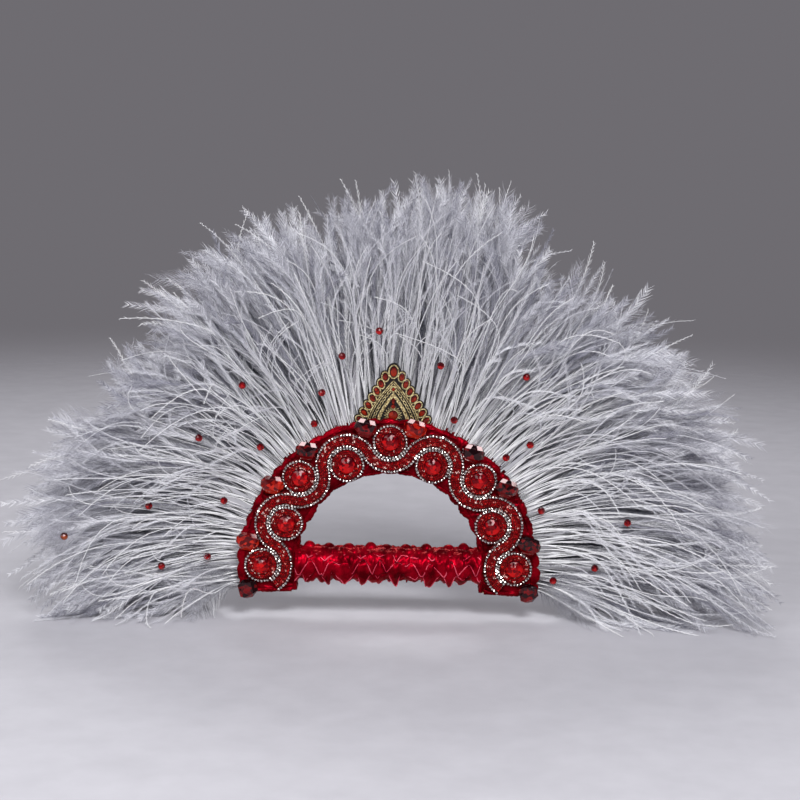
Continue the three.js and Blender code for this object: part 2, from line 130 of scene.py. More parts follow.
def triangles(faces):
    """Faces as triangles: each quad is cut along one diagonal."""
    faces = np.asarray(faces, int)
    if faces.shape[1] == 3:
        return faces
    return np.concatenate([faces[:, [0, 1, 2]], faces[:, [0, 2, 3]]])


class Parts:
    """Triangles and their materials, collected into one piece."""

    def __init__(self):
        self.points, self.faces, self.slots, self.uvs = [], [], [], []
        self.count = 0

    def add(self, points, faces, slot=0, uv=None):
        points = np.asarray(points, float).reshape(-1, 3)
        faces = triangles(faces)
        self.points.append(points)
        self.faces.append(faces + self.count)
        self.slots.append(np.full(len(faces), slot))
        self.uvs.append(np.zeros((len(points), 2)) if uv is None else uv.reshape(-1, 2))
        self.count += len(points)

    def piece(self, name, materials, smooth=True, with_uv=False):
        points = np.concatenate(self.points)
        faces = np.concatenate(self.faces).astype(np.int32)
        mesh = bpy.data.meshes.new(name)
        mesh.vertices.add(len(points))
        mesh.vertices.foreach_set("co", (points * MM).astype(np.float32).ravel())
        mesh.loops.add(faces.size)
        mesh.loops.foreach_set("vertex_index", faces.ravel())
        mesh.polygons.add(len(faces))
        mesh.polygons.foreach_set("loop_start", np.arange(0, faces.size, 3, dtype=np.int32))
        for material in materials:
            mesh.materials.append(material)
        mesh.polygons.foreach_set("material_index", np.concatenate(self.slots).astype(np.int32))
        mesh.update(calc_edges=True)
        mesh.polygons.foreach_set("use_smooth", np.full(len(faces), smooth))
        if with_uv:
            layer = mesh.uv_layers.new(name=UV_NAME)
            corner_uvs = np.concatenate(self.uvs)[faces.ravel()]
            layer.data.foreach_set("uv", corner_uvs.astype(np.float32).ravel())
        mesh.validate()
        piece = bpy.data.objects.new(name, mesh)
        bpy.context.scene.collection.objects.link(piece)
        return piece


def grid_quads(rows, columns, close_rows=False, close_columns=False):
    """Faces over a grid of points, joined end to end where asked."""
    index = np.arange(rows * columns).reshape(rows, columns)
    if close_rows:
        index = np.concatenate([index, index[:1]])
    if close_columns:
        index = np.concatenate([index, index[:, :1]], axis=1)
    corners = [index[:-1, :-1], index[:-1, 1:], index[1:, 1:], index[1:, :-1]]
    return np.stack(corners, axis=-1).reshape(-1, 4)


def add_sheet(parts, points, thickness, slot=0):
    """Cloth of even thickness over a grid of points, closed at its edges."""
    rows, columns = points.shape[:2]
    normal = unit(np.cross(np.gradient(points, axis=0), np.gradient(points, axis=1)))
    faces = grid_quads(rows, columns)
    index = np.arange(rows * columns).reshape(rows, columns)
    edge = np.concatenate([index[0, :-1], index[:-1, -1], index[-1, :0:-1], index[:0:-1, 0]])
    after = np.roll(edge, -1)
    under = rows * columns
    walls = np.stack([edge, edge + under, after + under, after], axis=-1)
    both = np.concatenate([points + normal * thickness / 2, points - normal * thickness / 2])
    parts.add(both, np.concatenate([faces, faces[:, ::-1] + under, walls]), slot)


def add_tube(parts, path, radius, sides=6, slot=0, closed=False):
    """A round cord along a path of points; radius may vary along it."""
    path = np.asarray(path, float)
    count = len(path)
    if closed:
        along = unit(np.roll(path, -1, axis=0) - np.roll(path, 1, axis=0))
    else:
        along = unit(np.gradient(path, axis=0))
    side = unit(np.cross(along, OFF_AXIS))
    front = np.cross(along, side)
    turn = 2 * math.pi * np.arange(sides) / sides
    radius = np.broadcast_to(np.asarray(radius, float), (count,))[:, None, None]
    around = np.cos(turn)[:, None] * side[:, None] + np.sin(turn)[:, None] * front[:, None]
    faces = triangles(grid_quads(count, sides, close_rows=closed, close_columns=True))
    if not closed:
        for end, order in ((0, 1), (count - 1, -1)):
            cap = end * sides + np.arange(sides)[::order]
            fan = np.stack([np.full(sides - 2, cap[0]), cap[1:-1], cap[2:]], axis=-1)
            faces = np.concatenate([faces, fan])
    parts.add(path[:, None] + radius * around, faces, slot)


def resample(path, pitch, closed=False):
    """Points at an even pitch along a path."""
    path = np.asarray(path, float)
    if closed:
        path = np.concatenate([path, path[:1]])
    along = np.concatenate([[0], np.cumsum(np.linalg.norm(np.diff(path, axis=0), axis=1))])
    count = max(int(round(along[-1] / pitch)), 1)
    stations = np.linspace(0, along[-1], count + 1)[: count if closed else count + 1]
    return np.stack([np.interp(stations, along, path[:, axis]) for axis in range(3)], axis=-1)


def add_copies(parts, template, places, frames, slot=0):
    """Copies of a small mesh, each at its place and turned by its 3 x 3 frame."""
    points, faces = template
    moved = np.einsum("nij,pj->npi", frames, points) + np.asarray(places)[:, None]
    offsets = len(points) * np.arange(len(places))[:, None, None]
    parts.add(moved, (faces[None] + offsets).reshape(-1, faces.shape[1]), slot)


def turned(rng, count, tilt):
    """Frames that face the front, each spun and tilted a little. Their third axis points to -Y."""
    spin = rng.uniform(0, 2 * math.pi, count)
    outward = unit(np.array([0, -1.0, 0]) + rng.normal(0, tilt, (count, 3)))
    side = unit(np.cross(outward, np.stack([np.cos(spin), 0 * spin, np.sin(spin)], axis=-1)))
    return np.stack([side, np.cross(outward, side), outward], axis=-1)


def crumple(u, v, seed, shortest, longest, waves=12):
    """Smooth seeded relief of about -1 to 1: waves of mixed lengths and headings."""
    rng = np.random.default_rng(seed)
    total = np.zeros(np.broadcast(u, v).shape)
    for _ in range(waves):
        pitch = rng.uniform(shortest, longest)
        heading = rng.uniform(0, math.pi)
        along = u * math.cos(heading) + v * math.sin(heading)
        total += np.sin(2 * math.pi / pitch * along + rng.uniform(0, 6.3))
    return total / math.sqrt(2 * waves)


def dress(piece, slot, *nodes):
    """The piece rides with the frame and stands for the nodes, which are hidden. The slot is not used."""
    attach(piece, "root")
    if nodes:
        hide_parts(*nodes)
    return piece


# Materials
NOISE_ROUGHNESS = 0.55
FLUE_NOISE = 500
TRANSLUCENT_SHARE = 0.12


class Surface:
    """A Principled material and short calls for the nodes that feed it."""

    def __init__(self, name, **sockets):
        self.material = bpy.data.materials.new(name)
        self.material.use_nodes = True
        self.tree = self.material.node_tree
        self.shader = self.tree.nodes["Principled BSDF"]
        self.output = self.tree.nodes["Material Output"]
        for socket, value in sockets.items():
            self.shader.inputs[socket.replace("_", " ")].default_value = value

    def node(self, kind, links=None, **settings):
        node = self.tree.nodes.new(kind)
        for name, value in settings.items():
            setattr(node, name, value)
        for socket, value in (links or {}).items():
            if isinstance(value, bpy.types.NodeSocket):
                self.tree.links.new(value, node.inputs[socket])
            else:
                node.inputs[socket].default_value = value
        return node

    def noise(self, vector, scale, detail):
        links = {"Vector": vector, "Scale": scale, "Detail": detail, "Roughness": NOISE_ROUGHNESS}
        return self.node("ShaderNodeTexNoise", links).outputs["Fac"]

    def place(self, stretch=(1, 1, 1)):
        texture = self.node("ShaderNodeTexCoord").outputs["Object"]
        links = {"Vector": texture, "Scale": stretch}
        return self.node("ShaderNodeMapping", links).outputs["Vector"]

    def ramp(self, factor, *stops):
        node = self.node("ShaderNodeValToRGB", {"Fac": factor})
        elements = node.color_ramp.elements
        while len(elements) < len(stops):
            elements.new(0.5)
        for element, (position, color) in zip(elements, stops):
            element.position = position
            element.color = color
        return node.outputs["Color"]

    def mix(self, factor, first, second, blend_type="MIX"):
        links = {0: factor, 6: first, 7: second}
        return self.node("ShaderNodeMix", links, data_type="RGBA", blend_type=blend_type).outputs[2]

    def math(self, operation, first, second=0.0):
        return self.node("ShaderNodeMath", {0: first, 1: second}, operation=operation).outputs[0]

    def blend(self, factor, other):
        """The share of another shader that shows in place of this one."""
        links = {0: factor, 1: self.shader.outputs[0], 2: other.outputs[0]}
        mixed = self.node("ShaderNodeMixShader", links).outputs[0]
        self.tree.links.new(mixed, self.output.inputs["Surface"])

    def cells(self, scale):
        """A value that differs from cell to cell."""
        cells = self.node("ShaderNodeTexVoronoi", {"Vector": self.place(), "Scale": scale})
        return self.node("ShaderNodeSeparateColor", {"Color": cells.outputs["Color"]}).outputs["Red"]

    def feed(self, socket, value):
        self.tree.links.new(value, self.shader.inputs[socket])

    def bump(self, height, strength, distance):
        links = {"Height": height, "Strength": strength, "Distance": distance * MM}
        self.feed("Normal", self.node("ShaderNodeBump", links).outputs["Normal"])


def srgb(red, green, blue):
    """A colour as a screen shows it, 0 to 255, in the linear values that shaders use."""
    values = np.array([red, green, blue]) / 255
    linear = np.where(values <= 0.04045, values / 12.92, ((values + 0.055) / 1.055) ** 2.4)
    return (*linear, 1.0)


WHITE = srgb(255, 255, 255)


def fibre_material(name, dark, bright, grain, bump, stretch=(1, 1, 1), stops=(0.3, 0.7), **sockets):
    """A stuff of fine fibres in two tones that also stand in relief."""
    surface = Surface(name, **sockets)
    fibre = surface.noise(surface.place(stretch), *grain)
    surface.feed("Base Color", surface.ramp(fibre, (stops[0], dark), (stops[1], bright)))
    surface.bump(fibre, *bump)
    return surface.material


def feather_material():
    """Bright lines, strands and grey silk, told apart by their columns of the UV map. The silk has
    painted shade deep in and at its roots.
    """
    surface = Surface("feather", Roughness=0.65, Specular_IOR_Level=0.25, Sheen_Weight=0.1)
    place = surface.node("ShaderNodeUVMap", uv_map=UV_NAME).outputs["UV"]
    parted = surface.node("ShaderNodeSeparateXYZ", {"Vector": place})
    across, along = parted.outputs["X"], parted.outputs["Y"]

    def own_noise(changes_along):
        stretch = {"Vector": place, "Scale": (FLUE_NOISE, changes_along, 1)}
        return surface.noise(surface.node("ShaderNodeMapping", stretch).outputs["Vector"], 1.0, 1)

    of_flue, of_barb = own_noise(0.8), own_noise(170)
    lines = surface.ramp(of_flue, (0.3, srgb(226, 226, 230)), (0.7, srgb(254, 254, 255)))
    softer = surface.ramp(along, (0.4, WHITE), (0.8, srgb(236, 236, 240)))
    is_strand = surface.math("GREATER_THAN", across, STRAND_COLUMNS[0])
    lines = surface.mix(is_strand, lines, softer, "MULTIPLY")

    # Painted shade on the silk: deep flues darker than front ones, all paler towards the tips, darkest at
    # the roots. Its tone also differs at random from flue to flue and from barb to barb
    silk = surface.ramp(across, (0.5, srgb(122, 123, 134)), (0.64, srgb(222, 223, 230)), (1.0, WHITE))
    at_tip = surface.ramp(along, (0.45, srgb(0, 0, 0)), (0.8, srgb(248, 248, 248)))
    silk = surface.mix(at_tip, silk, srgb(250, 250, 255))
    random_tones_and_root_shade = [
        surface.ramp(of_flue, (0.38, srgb(172, 172, 181)), (0.6, WHITE)),
        surface.ramp(of_barb, (0.38, srgb(150, 150, 158)), (0.58, WHITE)),
        # painted shade at the roots of the silk
        surface.ramp(along, (0.06, srgb(34, 34, 38)), (0.34, WHITE)),
    ]
    for shade in random_tones_and_root_shade:
        silk = surface.mix(1.0, silk, shade, "MULTIPLY")

    is_silk = surface.math("GREATER_THAN", across, SILK_COLUMNS[0])
    color = surface.mix(is_silk, lines, silk)
    surface.feed("Base Color", color)
    surface.blend(TRANSLUCENT_SHARE, surface.node("ShaderNodeBsdfTranslucent", {"Color": color}))
    return surface.material


# Feather fringe: ostrich flues in locks, each a tapered stem with barbs along both sides
PLUME_LENGTH = 150
ROOT_RADIUS = 93
FRONT_TAPE_Y, BACK_TAPE_Y = 0.5, 2.0
FRONT_LEAN, BACK_LEAN = -37, 34
LEAN_EXPONENT = 1.6
NEAREST_Y, FARTHEST_Y = -47.0, 45.0
DROOP = 0.29
DROOP_RAMP = 0.6
RIGHT_END_HANG, LEFT_END_HANG = 0.4, 0.05
SWAY = 0.11
HIGHEST_TIP, WIDEST_TIP = 262, 248
TIP_START = 0.6
LOCKS = 38
LOCK_JITTER = 0.35
BEAD_CLEARANCE = 4.2
BEHIND_BEAD = 0.25
BEAD_STEPS = 80
STEM_STEPS = 14
STEM_SIDES = 3
STEM_FLOOR_GAP, BARB_FLOOR_GAP = 0.8, 0.3
FLOOR_BEND = 6.0

# How flues differ from lock to lock and within a lock
ANGLE_SPREAD = 0.0018
OUTLINE_RELIEF = 0.05
LOCK_REACH, OWN_REACH = 0.05, 0.02
REACH_LIMITS = (-0.12, 0.08)
REACH_SKEW = 0.8
DEPTH_SPREAD = 0.08
DEPTH_LIMITS = (0.02, 1.25)
SWAY_DRIFT, LOCK_DRIFT, OWN_DRIFT = 0.5, 0.065, 0.25
SWAY_BOW, LOCK_BOW = 0.7, 0.12
LOCK_BOW_LIMIT, OWN_BOW_LIMIT = 1.6, 1.8
LOCK_DROOP, OWN_DROOP = 0.1, 0.15
STRAIGHT_WAVE, BOWED_WAVE = 1.6, 13
WAVE_TURNS = (0.7, 1.5)
LEAST_HOOK, MORE_HOOK = 0.2, 1.4
LOCK_CURL, CURL_DEPTH = 8, 5
TURN_BACK = 0.2
FLUFF_SPREAD = 0.3
FLUFF_LIMITS = (-0.5, 0.4)
FLUE_TWIST = 0.6

# Barbs: sizes as shares of a barb, and the shares of a flue over which they grow, open and taper
LAST_BARB = 0.995
BARB_JITTER = 0.003
TANGENT_STEP = 0.004
TWISTING, GROWING, OPENING, TAPERING = (0.05, 0.5), (0.1, 0.5), (0.72, 1.0), (0.86, 1)
TWIST_SPREAD, OPENING_SPREAD, HEADING_SPREAD = 0.16, 0.06, 0.13
SHORTEST_BARB = 0.2
TIP_TAPER = 0.45
BARB_LENGTHS = (0.6, 1.1)
BARB_BEND = 0.55
BARB_SWEEP, BARB_SAG = 0.3, 0.1
BARB_NARROWING = 0.7
COLUMN_SHARE, BARB_SPAN = 0.3, 0.4

# Reach of the plumes round the arch: degrees, and the share of the plume length
OUTLINE = [
    (-10, 0.62), (-3, 0.82), (5, 0.95), (12, 1.0), (24, 0.97), (37, 0.93), (47, 0.99), (60, 0.86),
    (73, 1.05), (82, 1.03), (93, 0.86), (104, 0.93), (111, 0.95), (119, 1.0), (131, 0.83), (143, 0.88),
    (155, 0.94), (166, 0.95), (172, 0.86), (178, 0.74), (184, 0.66), (190, 0.54),
]

# Parts of the UV map across, first column and width, that the feather material tells apart
LINE_COLUMNS, STRAND_COLUMNS, SILK_COLUMNS = (0.0, 0.25), (0.25, 0.25), (0.5, 0.5)


class Kind:
    """One kind of flue: how many a sector has, and how each is shaped."""

    def __init__(self, count, stem, barbs, barb_length, barb_width, opening, depth, reach, bow, curl,
                 spread=2.6, bare=0.1, columns=SILK_COLUMNS, hook=0.3):
        self.count = count
        self.stem_root, self.stem_tip = stem
        self.barbs, self.barb_length, self.barb_width = barbs, barb_length, barb_width
        self.opening = np.radians(opening)
        self.depth, self.reach = depth, reach
        self.bow, self.curl, self.spread, self.bare, self.hook = bow, curl, spread, bare, hook
        self.first_column, self.columns_width = columns


SILK = Kind(222, (0.2, 0.07), 176, 8, 0.32, (6, 15, 34), (0.0, 0.85), (0.55, 1.07), 0.07, 9)
STRAND = Kind(96, (0.4, 0.14), 84, 4.4, 0.28, (5, 13, 28), (0.7, 1.12), (0.3, 1.06), 0.08, 14, 0.9,
              columns=STRAND_COLUMNS)
LINE = Kind(36, (0.44, 0.22), 50, 3.0, 0.28, (5, 12, 26), (0.95, 1.2), (0.35, 1.03), 0.07, 18, 1.0,
            columns=LINE_COLUMNS, hook=0.55)
STRAY = Kind(5, (0.46, 0.26), 46, 2.4, 0.28, (6, 18, 36), (1.0, 1.22), (0.35, 0.9), 0.14, 28, 1.3,
             columns=LINE_COLUMNS, hook=1.1)
EAR = Kind(7, (0.3, 0.12), 90, 4.2, 0.34, (5, 24, 30), (0.2, 0.9), (1.06, 1.2), 0.06, 10,
           columns=LINE_COLUMNS, hook=0.15)
HAIR = Kind(26, (0.16, 0.06), 46, 13, 0.2, (8, 22, 34), (0.2, 0.9), (0.99, 1.06), 0.1, 10, bare=0.72)
DOWN = Kind(14, (0.2, 0.08), 110, 12, 0.2, (40, 55, 60), (0.1, 0.8), (0.18, 0.4), 0.3, 14)
TUFT = Kind(7, (0.25, 0.1), 150, 20, 0.2, (50, 55, 65), (0.3, 0.9), (0.84, 0.92), 0.06, 8, bare=0.72)

# Every sector has the coat; down hangs at both feet, and one tuft stands in the last sector
COAT = (SILK, STRAND, STRAY, EAR, HAIR, LINE)
DOWN_SEED, TUFT_SEED = 7, 8
DOWN_LOCKS = 5
TUFT_LOCKS = (16, 20)


class Locks:
    """The seeded places and leanings of one sector's locks, which their flues share."""

    def __init__(self, sector, front):
        rng = np.random.default_rng((7, sector, front))
        sweep = (math.pi + 2 * FRINGE_END_ANGLE) / FRINGE_SECTORS
        start = -FRINGE_END_ANGLE + sector * sweep
        jitter = rng.uniform(-LOCK_JITTER, LOCK_JITTER, LOCKS)
        self.angle = start + sweep * (np.arange(LOCKS) + 0.5 + jitter) / LOCKS
        self.depth = rng.permutation(np.linspace(0, 1, LOCKS))
        self.reach, self.drift, self.bow, self.curl, self.droop = rng.normal(0, 1, (5, LOCKS))


def per_flue(values):
    """One value for each flue, set against the points along it."""
    return np.asarray(values)[:, None]


class Flues:
    """The seeded shapes of one sector's flues of one kind, in the front or back layer."""

    def __init__(self, sector, front, kind, seed, first_lock=0, last_lock=LOCKS):
        locks = Locks(sector, front)
        rng = np.random.default_rng((seed, sector, front))
        self.count, self.rng, self.kind = kind.count, rng, kind
        lock_order = rng.permutation(np.arange(first_lock, last_lock))
        of_lock = lock_order[np.arange(kind.count) % len(lock_order)]

        def own(spread):
            return rng.normal(0, spread, kind.count)

        self.angle = locks.angle[of_lock] + own(ANGLE_SPREAD)
        degrees = np.degrees(self.angle)
        upward, sideways = np.sin(self.angle), np.abs(np.cos(self.angle))

        # Length, within the room above and to the sides
        outline = np.interp(degrees, *zip(*OUTLINE))
        outline = outline * (1 + OUTLINE_RELIEF * crumple(degrees, 0, 310, 5, 14))
        low, high = kind.reach
        reach = high - (high - low) * rng.beta(REACH_SKEW, kind.spread, self.count)
        uneven = np.clip(LOCK_REACH * locks.reach[of_lock] + own(OWN_REACH), *REACH_LIMITS)
        room = np.minimum(HIGHEST_TIP / np.maximum(upward, 0.01), WIDEST_TIP / sideways)
        self.length = np.minimum(PLUME_LENGTH * outline * reach * (1 + uneven), room - RIM_RADIUS)

        # Lean off the tape
        near, far = kind.depth
        depth = near + (far - near) * locks.depth[of_lock] + own(DEPTH_SPREAD)
        self.lean = (FRONT_LEAN if front else BACK_LEAN) * np.clip(depth, *DEPTH_LIMITS)
        self.depth_rank = depth.argsort().argsort()
        self.tape_y = FRONT_TAPE_Y if front else BACK_TAPE_Y

        # Sideways drift and bow, and the droop of what stands sideways
        sway = SWAY * crumple(degrees, 0, 300 + front, 16, 50)
        self.drift = SWAY_DRIFT * sway + LOCK_DRIFT * locks.drift[of_lock] + own(OWN_DRIFT * kind.bow)
        lock_bow = LOCK_BOW * np.clip(locks.bow[of_lock], -LOCK_BOW_LIMIT, LOCK_BOW_LIMIT)
        self.bow = SWAY_BOW * sway + lock_bow + np.clip(own(1), -OWN_BOW_LIMIT, OWN_BOW_LIMIT) * kind.bow
        from_end = np.minimum(self.angle + FRINGE_END_ANGLE, math.pi + FRINGE_END_ANGLE - self.angle)
        end_hang = np.where(self.angle < math.pi / 2, RIGHT_END_HANG, LEFT_END_HANG)
        hang = end_hang + (1 - end_hang) * smoothstep(from_end, 0, DROOP_RAMP)
        self.droop = DROOP * sideways * hang * (1 + LOCK_DROOP * locks.droop[of_lock] + own(OWN_DROOP))

        # Waves along the stem, and the hook at its tip
        self.wave = own(STRAIGHT_WAVE + BOWED_WAVE * kind.bow)
        self.wave_turns = rng.uniform(*WAVE_TURNS, self.count)
        self.wave_start = rng.uniform(0, 2 * math.pi, self.count)
        hooks = LEAST_HOOK + MORE_HOOK * rng.uniform(0, 1, self.count) ** 2
        hooks = hooks * rng.choice((-1, 1), self.count)
        self.curl = LOCK_CURL * locks.curl[of_lock] + kind.curl * hooks
        self.turn_back = TURN_BACK * self.length * kind.hook * np.abs(hooks)
        self.curl_y = own(CURL_DEPTH)
        self.fluff = np.exp(np.clip(own(FLUFF_SPREAD), *FLUFF_LIMITS))
        self.twist = own(FLUE_TWIST)
        if front:
            self.lean = np.where(self.cover_a_bead(), BEHIND_BEAD * self.lean, self.lean)

    def cover_a_bead(self):
        """Which flues pass in front of a pin's bead."""
        share = np.broadcast_to(np.linspace(0, 1, BEAD_STEPS), (self.count, BEAD_STEPS))
        line = self.at(share)[:, :, None]
        apart = np.linalg.norm((line - PIN_BEADS) * (1, 0, 1), axis=-1)
        in_front = line[..., 1] < PIN_BEADS[:, 1]
        return (in_front & (apart < BEAD_CLEARANCE)).any(axis=(1, 2))

    def at(self, share):
        """Points on the stems, for shares of shape (flues, points)."""
        length, angle = per_flue(self.length), per_flue(self.angle)
        radius = ROOT_RADIUS + (length + RIM_RADIUS - ROOT_RADIUS) * share
        beyond = np.maximum(radius - RIM_RADIUS, 0) / length
        tip = np.maximum(beyond - TIP_START, 0) ** 2 / (1 - TIP_START) ** 2
        radius = radius - per_flue(self.turn_back) * tip
        y = self.tape_y + per_flue(self.lean) * beyond ** LEAN_EXPONENT + per_flue(self.curl_y) * tip
        points = polar(radius, np.broadcast_to(angle, radius.shape), y)
        aside = length * (per_flue(self.drift) * beyond + per_flue(self.bow) * beyond ** 2)
        wave = np.sin(2 * math.pi * per_flue(self.wave_turns) * beyond + per_flue(self.wave_start))
        aside = aside + per_flue(self.wave) * wave * beyond + per_flue(self.curl) * tip
        points += aside[..., None] * polar(1, angle + math.pi / 2)
        points[..., 2] -= per_flue(self.length * self.droop) * beyond ** 2
        return lay_on_floor(points)


def lay_on_floor(points):
    """What would hang below the floor bends along it."""
    ground = FLOOR_Z + STEM_FLOOR_GAP
    height = points[..., 2] - ground
    bent = ground + FLOOR_BEND * np.exp((height - FLOOR_BEND) / FLOOR_BEND)
    points[..., 2] = np.where(height < FLOOR_BEND, bent, points[..., 2])
    points[..., 1] = np.clip(points[..., 1], NEAREST_Y, FARTHEST_Y)
    return points


def flue_uv(flues, share, across, along):
    """Each flue has its own column of the map, the deepest first, and its length runs up the column."""
    kind = flues.kind
    # Columns go by depth, so that the feather material can paint shade on the deep flues
    place = flues.depth_rank[:, None, None] + 0.5 + COLUMN_SHARE * np.array(across)
    u = kind.first_column + place * (kind.columns_width / flues.count)
    v = share[..., None] + BARB_SPAN * np.array(along) / kind.barbs
    return np.stack(np.broadcast_arrays(u, np.clip(v, 0, 1)), axis=-1)


def stem_parts(parts, flues):
    kind = flues.kind
    share = np.broadcast_to(np.linspace(0, 1, STEM_STEPS + 1), (flues.count, STEM_STEPS + 1))
    centre = flues.at(share)
    along = unit(np.gradient(centre, axis=1))
    side = unit(np.cross(along, (0, 1, 0)))
    front = np.cross(along, side)
    radius = kind.stem_root + (kind.stem_tip - kind.stem_root) * share
    rings = []
    for corner in range(STEM_SIDES):
        turn = math.pi / 2 + 2 * math.pi * corner / STEM_SIDES
        rings.append(centre + radius[..., None] * (math.cos(turn) * side + math.sin(turn) * front))
    points = np.stack(rings, axis=2)
    index = np.arange(points[..., 0].size).reshape(points.shape[:3])
    after = np.roll(index, -1, axis=2)
    quads = np.stack([index[:, :-1], after[:, :-1], after[:, 1:], index[:, 1:]], axis=-1)
    parts.add(points, quads.reshape(-1, 4), uv=flue_uv(flues, share, (-1, 0, 1), (0, 0, 0)))


def barb_parts(parts, flues):
    """Barbs in the flue's own plane, close along the stem at the root and open at the tip."""
    rng, kind = flues.rng, flues.kind
    shape = (flues.count, kind.barbs)
    share = np.linspace(kind.bare, LAST_BARB, kind.barbs) + rng.uniform(-BARB_JITTER, BARB_JITTER, shape)
    root = flues.at(share)
    along = unit(flues.at(share + TANGENT_STEP) - root)
    hand = np.where(np.arange(kind.barbs) % 2, 1.0, -1.0)
    flat_side = unit(np.cross(along, (0, 1, 0)))
    flat_front = np.cross(flat_side, along)
    twist = per_flue(flues.twist) * smoothstep(share, *TWISTING) + rng.normal(0, TWIST_SPREAD, shape)
    side = np.cos(twist)[..., None] * flat_side + np.sin(twist)[..., None] * flat_front
    normal = np.cross(side, along)

    close, middle_open, tip_open = kind.opening
    opening = close + (middle_open - close) * smoothstep(share, *GROWING)
    opening = opening + (tip_open - middle_open) * smoothstep(share, *OPENING)
    opening = opening + rng.normal(0, OPENING_SPREAD, shape)
    heading = np.cos(opening)[..., None] * along + (hand * np.sin(opening))[..., None] * side

    grown = SHORTEST_BARB + (1 - SHORTEST_BARB) * smoothstep(share, *GROWING)
    tapered = 1 - TIP_TAPER * smoothstep(share, *TAPERING)
    length = kind.barb_length * grown * tapered * rng.uniform(*BARB_LENGTHS, shape)
    length = (length * per_flue(flues.fluff))[..., None]
    middle = root + BARB_BEND * length * heading
    stray = rng.normal(0, HEADING_SPREAD, (*shape, 3))
    bent = unit(heading + BARB_SWEEP * along + stray - (0, 0, BARB_SAG))
    tip = middle + (1 - BARB_BEND) * length * bent

    across = unit(np.cross(heading, normal)) * kind.barb_width / 2
    narrow = BARB_NARROWING * across
    corners = [root - across, root + across, middle - narrow, middle + narrow, tip]
    points = np.stack(corners, axis=2)
    points[..., 2] = np.maximum(points[..., 2], FLOOR_Z + BARB_FLOOR_GAP)
    points[..., 1] = np.clip(points[..., 1], NEAREST_Y, FARTHEST_Y)
    first = len(corners) * np.arange(flues.count * kind.barbs)[:, None]
    faces = np.concatenate([first + (0, 1, 3), first + (0, 3, 2), first + (2, 3, 4)])
    over_column = (-1, 1, -BARB_NARROWING, BARB_NARROWING, 0)
    parts.add(points, faces, uv=flue_uv(flues, share, over_column, (0, 0, 0.5, 0.5, 1)))


def build_feathers():
    material = feather_material()
    for layer, front in (("front", True), ("back", False)):
        for sector in range(FRINGE_SECTORS):
            parts = Parts()
            batches = [Flues(sector, front, kind, seed) for seed, kind in enumerate(COAT)]
            if sector == 0:
                batches.append(Flues(sector, front, DOWN, DOWN_SEED, 0, DOWN_LOCKS))
            if sector == FRINGE_SECTORS - 1:
                batches.append(Flues(sector, front, DOWN, DOWN_SEED, LOCKS - DOWN_LOCKS, LOCKS))
                batches.append(Flues(sector, front, TUFT, TUFT_SEED, *TUFT_LOCKS))
            for flues in batches:
                stem_parts(parts, flues)
                barb_parts(parts, flues)
            piece = parts.piece(f"{layer}_plumes_{sector + 1}", [material], smooth=False, with_uv=True)
            dress(piece, "feather", f"{layer}_fringe_{sector + 1}")


# Satin: facings over the boards, ruched ribbon round their edges, and the ruched handle
CLOTH_THICKNESS = 0.35
MIDDLE_RADIUS = 80
RIM_STEP = 0.5
SMOOTHING = 15
FACING_RELIEF = 1.3
POCKET_FULLNESS = 1.3
LOBE_PITCH = 12.0
LOBE_HEIGHT = 2.3
INNER_LOBE_HEIGHT = 2.4
RUFFLE_RUN_OUT = 0.06
FOOT_FLARE = 1.8
GATHER_JITTER = 0.3
GATHER_SIZES = (0.45, 1.2)
RUFFLE_ROLL = np.linspace(-1.45, 2.05, 22)
RUFFLE_HEIGHT = 1.0
RUFFLE_MIDDLE, RUFFLE_HALF_DEPTH = 5.0, 1.9
RIBBON_STEPS = 280
RIBBON_PITCH = 11.4
RIBBON_KNOT_SPREAD = 0.14
RIBBON_TIP_DROPS, RIBBON_NOTCH_DROPS = (0.4, 1.15), (-0.15, 0.3)
RIBBON_TIP_SOFTNESS = 0.08
RIBBON_V_DEPTHS = (7.0, 10.0, 10.0, 7.0)
RIBBON_ROW_WIDTHS = (15.4, 19.0, 19.0, 14.0)
RIBBON_ROW_STARTS = (92, 70, 30, -10)
RIBBON_TUCK = 1.4
RIBBON_TIP_LIFTS = (1.2, 1.6, 3.4, 1.6)
EDGE_HIGHLIGHT_RADIUS = 0.4
FRILL_PITCH = 12.6
FRILL_HEIGHT = 5.2
FRILL_WIDTH = 4.2
FRILL_JITTER = 1.2
FRILL_TURN = 0.32
WRAP_HEIGHT, ROW_HEIGHT, ROW_MIDDLE = 1.1, 1.6, 2.4


def arch_angles(radius, share):
    """Angles from foot to foot, both feet ending level."""
    end = np.arcsin(FOOT_DEPTH / radius)
    return -end + share * (math.pi + 2 * end)


def satin_material(name, deep, bright):
    tint = srgb(255, 48, 56)
    surface = Surface(name, Metallic=0.45, Roughness=0.33, Specular_IOR_Level=0.1, Specular_Tint=tint)
    place = surface.place()
    tone = surface.noise(place, 110, 4)
    surface.feed("Base Color", surface.ramp(tone, (0.36, deep), (0.64, bright)))
    weave = surface.node("ShaderNodeTexWave", {"Vector": place, "Scale": 260.0, "Distortion": 1.5})
    crease = surface.noise(place, 170, 2)
    height = surface.math("ADD", surface.math("MULTIPLY", weave.outputs["Fac"], 0.03), crease)
    surface.bump(height, 0.3, 1.2)
    return surface.material


